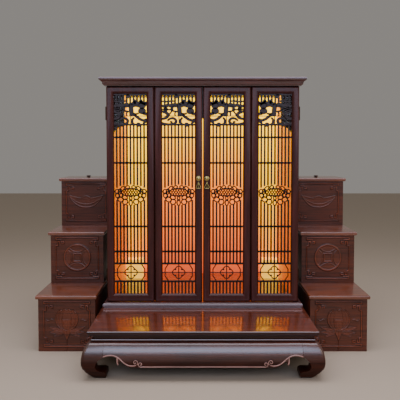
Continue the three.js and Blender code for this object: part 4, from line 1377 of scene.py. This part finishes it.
@dataclass
class StandCarving:
    """Relief on a box front, as a height over the face. Sizes are in metres."""

    motif: Motif
    centre: tuple[float, float]
    height: float = 2.9 * MM

    def field(self, x: np.ndarray, z: np.ndarray) -> np.ndarray:
        """Height of the carving at each place, by the box's motif."""
        u, v = x - self.centre[0], z - self.centre[1]
        shape = {Motif.LOTUS: self.lotus, Motif.COIN: self.coin, Motif.INGOT: self.ingot}[self.motif]
        return np.clip(shape(u, v), 0, 1) * self.height

    @staticmethod
    def ridge(distance: np.ndarray, half_width: float) -> np.ndarray:
        """A rounded ridge: one on its line, falling to zero at its half width."""
        return np.clip(1 - (distance / half_width) ** 2, 0, 1) ** 0.6

    def petal(self, u: np.ndarray, v: np.ndarray, foot: tuple[float, float], length: float, width: float,
              lean: float) -> np.ndarray:
        """A pointed leaf, in its own frame.

        Its half width is a sine of the way up, so that it closes at both ends. The surface is hollow
        between a raised rim and a raised middle rib.

        Returns:
            Its height, zero outside it.
        """
        du, dv = u - foot[0], v - foot[1]
        along = (du * math.sin(lean) + dv * math.cos(lean)) / length
        across = np.abs(du * math.cos(lean) - dv * math.sin(lean)) / width
        half = 0.5 * np.sin(np.pi * np.clip(along, 0, 1)) ** 0.8
        inside = (along > 0) & (along < 1) & (across < half)
        rim = np.clip(1 - (half - across) / 0.14, 0, 1)
        rib = np.clip(1 - across / 0.09, 0, 1)
        return np.where(inside, 0.4 + 0.4 * np.maximum(rim, rib), 0)

    def lotus(self, u: np.ndarray, v: np.ndarray) -> np.ndarray:
        """Lotus: a round flower of long curved petals over crossing leaves and a pointed drop.

        The petals lie between meridians of a globe: with s the distance from the middle as a share of
        the globe's half width at that height, ridges run at fixed s. Scallops cut their tips at the top.
        """
        radius, middle = 51 * MM, 20 * MM
        half = radius * np.sqrt(np.clip(1 - ((v - middle) / radius) ** 2, 0, 1))
        s = np.abs(u) / np.maximum(half, 1e-5)
        tips = middle + radius * (0.93 - 0.3 * (u / radius) ** 2 - 0.13 * np.abs(np.sin(np.pi * (u / (19 * MM) + 0.5))))
        globe = (s < 1) & (v < tips)
        depth = np.minimum((1 - s) * half, tips - v)
        edges = np.maximum.reduce([
            self.ridge(depth - 2.2 * MM, 3.2 * MM),
            0.8 * self.ridge((s - 0.7) * half, 2.6 * MM), 0.7 * self.ridge((s - 0.4) * half, 2.2 * MM),
        ])
        flower = np.where(globe, 0.32 + 0.68 * edges, 0)
        share = (v + 26 * MM) / (42 * MM)
        pod_half = (12 + 6 * np.clip(share, 0, 1)) * MM
        pod = (np.abs(u) < pod_half) & (share > 0) & (share < 1)
        rib = self.ridge(np.abs(np.mod(u + 4 * MM, 8 * MM) - 4 * MM), 2.4 * MM)
        flower = np.where(pod, 0.55 + 0.35 * rib, flower)
        leaves = np.zeros_like(u)
        for hand in (-1, 1):
            for lean, length, width in ((1.32, 80, 17), (1.62, 74, 17), (1.93, 60, 15)):
                leaves = np.maximum(leaves, self.petal(u, v, (hand * 4 * MM, -36 * MM), length * MM, width * MM, hand * lean))
            wave = v - 15 * MM - 3.5 * MM * np.sin((u * hand - 62 * MM) * 2 * np.pi / (26 * MM))
            span = (u * hand > 60 * MM) & (u * hand < 90 * MM)
            leaves = np.maximum(leaves, np.where(span, 0.6 * self.ridge(wave, 2.6 * MM), 0))
        drop_half = 17 * MM * np.clip((v + 78 * MM) / (42 * MM), 0, 1)
        drop = (np.abs(u) < drop_half) & (v < -30 * MM)
        shield = 0.5 + 0.4 * self.ridge(drop_half - np.abs(u) - 2 * MM, 2.4 * MM)
        return np.maximum(np.where(drop, shield, leaves), flower)

    def coin(self, u: np.ndarray, v: np.ndarray) -> np.ndarray:
        """Coin: a round rim, a square eye in its frame, and four arcs that cut lenses out of the disc."""
        radius = np.hypot(u, v)
        rim = self.ridge(radius - 61 * MM, 5.2 * MM)
        square = np.maximum(np.abs(u), np.abs(v))
        frame = 0.8 * self.ridge(square - 18.5 * MM, 4 * MM)
        disc = radius < 58 * MM
        arcs = np.zeros_like(u)
        for a, b in ((u, v), (v, u)):
            for hand in (-1, 1):
                reach = np.hypot(a, b - hand * 72 * MM)
                arcs = np.maximum(arcs, np.where(disc, 0.75 * self.ridge(reach - 45 * MM, 2.8 * MM), 0))
                arcs = np.maximum(arcs, np.where(disc & (reach < 45 * MM), 0.3, 0))
        return np.maximum.reduce([rim, frame, arcs, np.where(disc, 0.12, 0)])

    def ingot(self, u: np.ndarray, v: np.ndarray) -> np.ndarray:
        """Ingot: a long boat with turned-up ends, a domed middle and a second line inside its belly."""
        s = np.clip(np.abs(u) / (88 * MM), 0, 1)
        dome = 31 * MM - 11 * MM * (np.abs(u) / (24 * MM)) ** 2
        shoulder = 20 * MM + 14 * MM * np.clip((s - 0.3) / 0.7, 0, 1) ** 1.2
        top = np.maximum(dome, shoulder)
        bottom = -31 * MM + 62 * MM * s**2.6
        inside = (np.abs(u) < 88 * MM) & (v < top) & (v > bottom)
        depth = np.minimum(top - v, v - bottom)
        inner = -13 * MM + 40 * MM * s**2
        line = np.where(np.abs(u) < 70 * MM, self.ridge(v - inner, 2.8 * MM), 0)
        body = 0.3 + 0.4 * self.ridge(depth - 2.5 * MM, 3.4 * MM)
        return np.where(inside, np.maximum(body, line), 0)


@dataclass
class SteppedStand:
    """Three open boxes, each under its moulded board, on one side of the cabinet."""

    shop: Workshop
    side: Side
    wall: float = 15 * MM
    relief: float = 3 * MM
    ease: float = 1.2 * MM
    grid: float = 1.5 * MM
    border_side: float = 25 * MM
    border_foot: float = 23 * MM
    border_head: float = 12 * MM
    border_line: float = 4.2 * MM
    carving_rise: float = 8 * MM

    def build(self) -> None:
        """Builds the three boxes and their boards."""
        for motif in Motif:
            self.build_box(motif)
            self.build_board(motif)
        self.build_knob()

    def build_knob(self) -> None:
        """Low turned knob on the topmost board: a waist under a rounded button, turned about the upright."""
        node = f"stand_{self.side.word}_knob"
        lo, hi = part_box(node)
        radius, height = (hi.x - lo.x) / 2, hi.z - lo.z
        line = catmull_rom([(0.66, 0.0), (0.6, 0.22), (0.97, 0.46), (0.94, 0.7), (0.6, 0.94), (0.03, 1.0)], 24)
        turn = np.linspace(0, 2 * np.pi, 28, endpoint=False)
        reach = np.clip(line[:, :1], 0.02, 1) * radius
        grid = np.stack([
            (lo.x + hi.x) / 2 + reach * np.cos(turn), (lo.y + hi.y) / 2 + reach * np.sin(turn),
            lo.z + np.clip(line[:, 1:], 0, 1) * height + 0 * turn,
        ], axis=-1)
        self.shop.piece(f"stand_lid_knob_{self.side.word}", sweep(grid).toned(0.1),
                        WALNUT_CARVED.material(Grain.ALONG_Z), "walnut", replaces=[node])

    def fret(self, lo: Vector, hi: Vector, front: float) -> list[Shell]:
        """Raised border line whose corners turn twice in nested squares, made light as a painted highlight over a wider
        dark band of painted shade.

        Args:
            lo, hi: corners of the box.
            front: Y of its face.

        Returns:
            The lines and their dark bands as straps.
        """
        key, pitch = 38 * MM, 9 * MM
        x0, x1 = lo.x + self.border_side, hi.x - self.border_side
        z0, z1 = lo.z + self.border_foot, hi.z - self.border_head
        height = 2.1 * MM
        paths = []
        for x, z, sx, sz in ((x0, z0, 1, 1), (x1, z0, -1, 1), (x1, z1, -1, -1), (x0, z1, 1, -1)):
            turns = [
                [(key, 0), (0, 0), (0, pitch), (key * 0.7, pitch)],
                [(0, key), (pitch, key), (pitch, 2 * pitch), (2 * pitch, 2 * pitch), (2 * pitch, key * 0.8)],
                [(3 * pitch, 2 * pitch), (key, 2 * pitch), (key, 3 * pitch), (3 * pitch, 3 * pitch)],
            ]
            paths += [np.array([(x + sx * a, z + sz * b) for a, b in turn]) for turn in turns]
        for z in (z0, z1):
            paths.append(np.array([(x0 + key, z), (x1 - key, z)]))
        for x in (x0, x1):
            paths.append(np.array([(x, z0 + key), (x, z1 - key)]))
        shells = []
        for path in paths:
            # Each line at tone 0.95 as a painted highlight, over a wider, barely raised band at tone 0 as painted
            # shade.
            shells.append(strap(path, self.border_line, front - height, height + 1 * MM, ease=1.1 * MM).toned(0.95))
            shells.append(strap(path, self.border_line + 5 * MM, front - 0.3 * MM, 1.3 * MM, ease=0.2 * MM).toned(0.0))
        return shells

    def build_box(self, motif: Motif) -> None:
        """Box: four walls and a floor with eased edges, behind the carved front."""
        node = f"stand_{self.side.word}_{motif.value}_box"
        lo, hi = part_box(node)
        face = lo.y + self.relief
        body_lo = Vector((lo.x, face + 1.2 * MM, lo.z))
        e, wall = self.ease, self.wall
        profile = np.array([
            (e, lo.z), (0.3 * e, lo.z + 0.3 * e), (0, lo.z + e), (0, hi.z - e), (0.3 * e, hi.z - 0.3 * e), (e, hi.z),
            (wall - e, hi.z), (wall, hi.z - e), (wall, lo.z + wall),
        ])
        carving = StandCarving(motif, ((lo.x + hi.x) / 2, (lo.z + hi.z) / 2 + self.carving_rise))
        plate_lo = Vector((lo.x + 0.4 * MM, face, lo.z + 0.4 * MM))
        plate_hi = Vector((hi.x - 0.4 * MM, face, hi.z - 0.4 * MM))
        shells = [
            moulded(body_lo, hi, profile).toned(0.38),
            relief_plate(plate_lo, plate_hi, face + 1.5 * MM, carving.field, self.grid),
            *self.fret(lo, hi, face),
        ]
        self.shop.piece(f"stand_box_{self.side.word}_{motif.value}", join(shells), WALNUT_CARVED.material(Grain.ALONG_X),
                        "walnut", replaces=[node], smooth=math.radians(45))

    def build_board(self, motif: Motif) -> None:
        """Board: a round nose over a small undercut, carried round the front and both sides."""
        node = f"stand_{self.side.word}_{motif.value}_board"
        lo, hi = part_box(node)
        foot, head = lo.z, hi.z
        profile = np.concatenate([
            [(2.5 * MM, foot), (0.8 * MM, foot + 2 * MM)],
            rounded_edge(0, foot + 3 * MM, 1.5 * MM, upward=False, count=3),
            rounded_edge(0, head, 5.5 * MM, upward=True, count=7),
        ])
        shell = moulded(lo, hi, profile, back_inset=0.0)
        self.shop.piece(f"stand_board_{self.side.word}_{motif.value}", shell, WALNUT.material(Grain.ALONG_X),
                        "walnut", replaces=[node])


# Studio


@dataclass
class Studio:
    """Camera at the photograph's place, a pale floor and soft lights."""

    lens_mm: float = 54.0
    camera_x: float = -12 * MM
    camera_y: float = -2790 * MM
    camera_z: float = 901 * MM
    pitch_down: float = math.radians(2.6)
    shift_y: float = -0.063
    floor_colour: str = "#b9a893"

    def build(self) -> None:
        """Sets up camera, floor, world and lights."""
        scene = bpy.context.scene
        data = bpy.data.cameras.new("camera")
        data.lens = self.lens_mm
        data.sensor_width = 36.0
        data.shift_y = self.shift_y
        camera = bpy.data.objects.new("camera", data)
        camera.location = (self.camera_x, self.camera_y, self.camera_z)
        camera.rotation_euler = (math.pi / 2 - self.pitch_down, 0.0, 0.0)
        scene.collection.objects.link(camera)
        scene.camera = camera
        world = bpy.data.worlds.new("studio_air")
        world.use_nodes = True
        air = world.node_tree.nodes["Background"]
        air.inputs["Color"].default_value = linear("#efe9e2")
        air.inputs["Strength"].default_value = 0.3
        scene.world = world
        self.build_floor()
        self.add_light("ceiling", (0.0, -0.55, 2.75), (0.0, -0.55, 0.0), (3.2, 1.8), 70, "#f3f1ff")
        self.add_light("window", (0.0, -4.0, 2.15), (0.0, -0.3, 0.6), (4.4, 2.0), 92, "#d2dfff")
        self.add_light("left", (-2.8, -2.2, 1.8), (0.0, -0.2, 0.5), (1.6, 1.6), 8, "#fff4e6")
        self.add_light("right", (2.8, -2.2, 1.6), (0.2, 0.0, 0.4), (1.6, 1.6), 18, "#fff0e4")

    def build_floor(self) -> None:
        """Plain pale floor under the object."""
        mesh = bpy.data.meshes.new("floor")
        size = 9.0
        mesh.from_pydata([(-size, -size, 0), (size, -size, 0), (size, size, 0), (-size, size, 0)], [], [(0, 1, 2, 3)])
        material, _, shader = blank_material("plain_floor")
        shader.inputs["Base Color"].default_value = linear(self.floor_colour)
        shader.inputs["Roughness"].default_value = 0.6
        mesh.materials.append(material)
        floor = bpy.data.objects.new("floor", mesh)
        bpy.context.scene.collection.objects.link(floor)

    @staticmethod
    def add_light(
        name: str, place: Sequence[float], target: Sequence[float], size: Sequence[float], power: float, colour: str,
    ) -> None:
        """Adds a rectangular soft light that looks at a target.

        Args:
            name: name of the light.
            place: where it hangs.
            target: what it looks at.
            size: its width and height.
            power: in watts.
            colour: sRGB colour.
        """
        data = bpy.data.lights.new(name, "AREA")
        data.shape = "RECTANGLE"
        data.size, data.size_y = size
        data.energy = power
        data.color = linear(colour)[:3]
        lamp = bpy.data.objects.new(name, data)
        lamp.location = place
        lamp.rotation_euler = (Vector(target) - Vector(place)).to_track_quat("-Z", "Y").to_euler()
        bpy.context.scene.collection.objects.link(lamp)


def main() -> None:
    """Builds the studio and every part of the altar, in order."""
    logging.basicConfig(level=logging.INFO, format="%(message)s")
    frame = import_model()
    Studio().build()
    shop = Workshop(frame)
    Platform(shop).build()
    CabinetCase(shop).build()
    design = LatticeDesign()
    for side in Side:
        for place in ("outer", "inner"):
            DoorLeaf(shop, side, place, design).build()
    DoorHardware(shop).build()
    for side in Side:
        SteppedStand(shop, side).build()
    LOG.info("%d pieces made", shop.made)


if __name__ == "__main__":
    main()
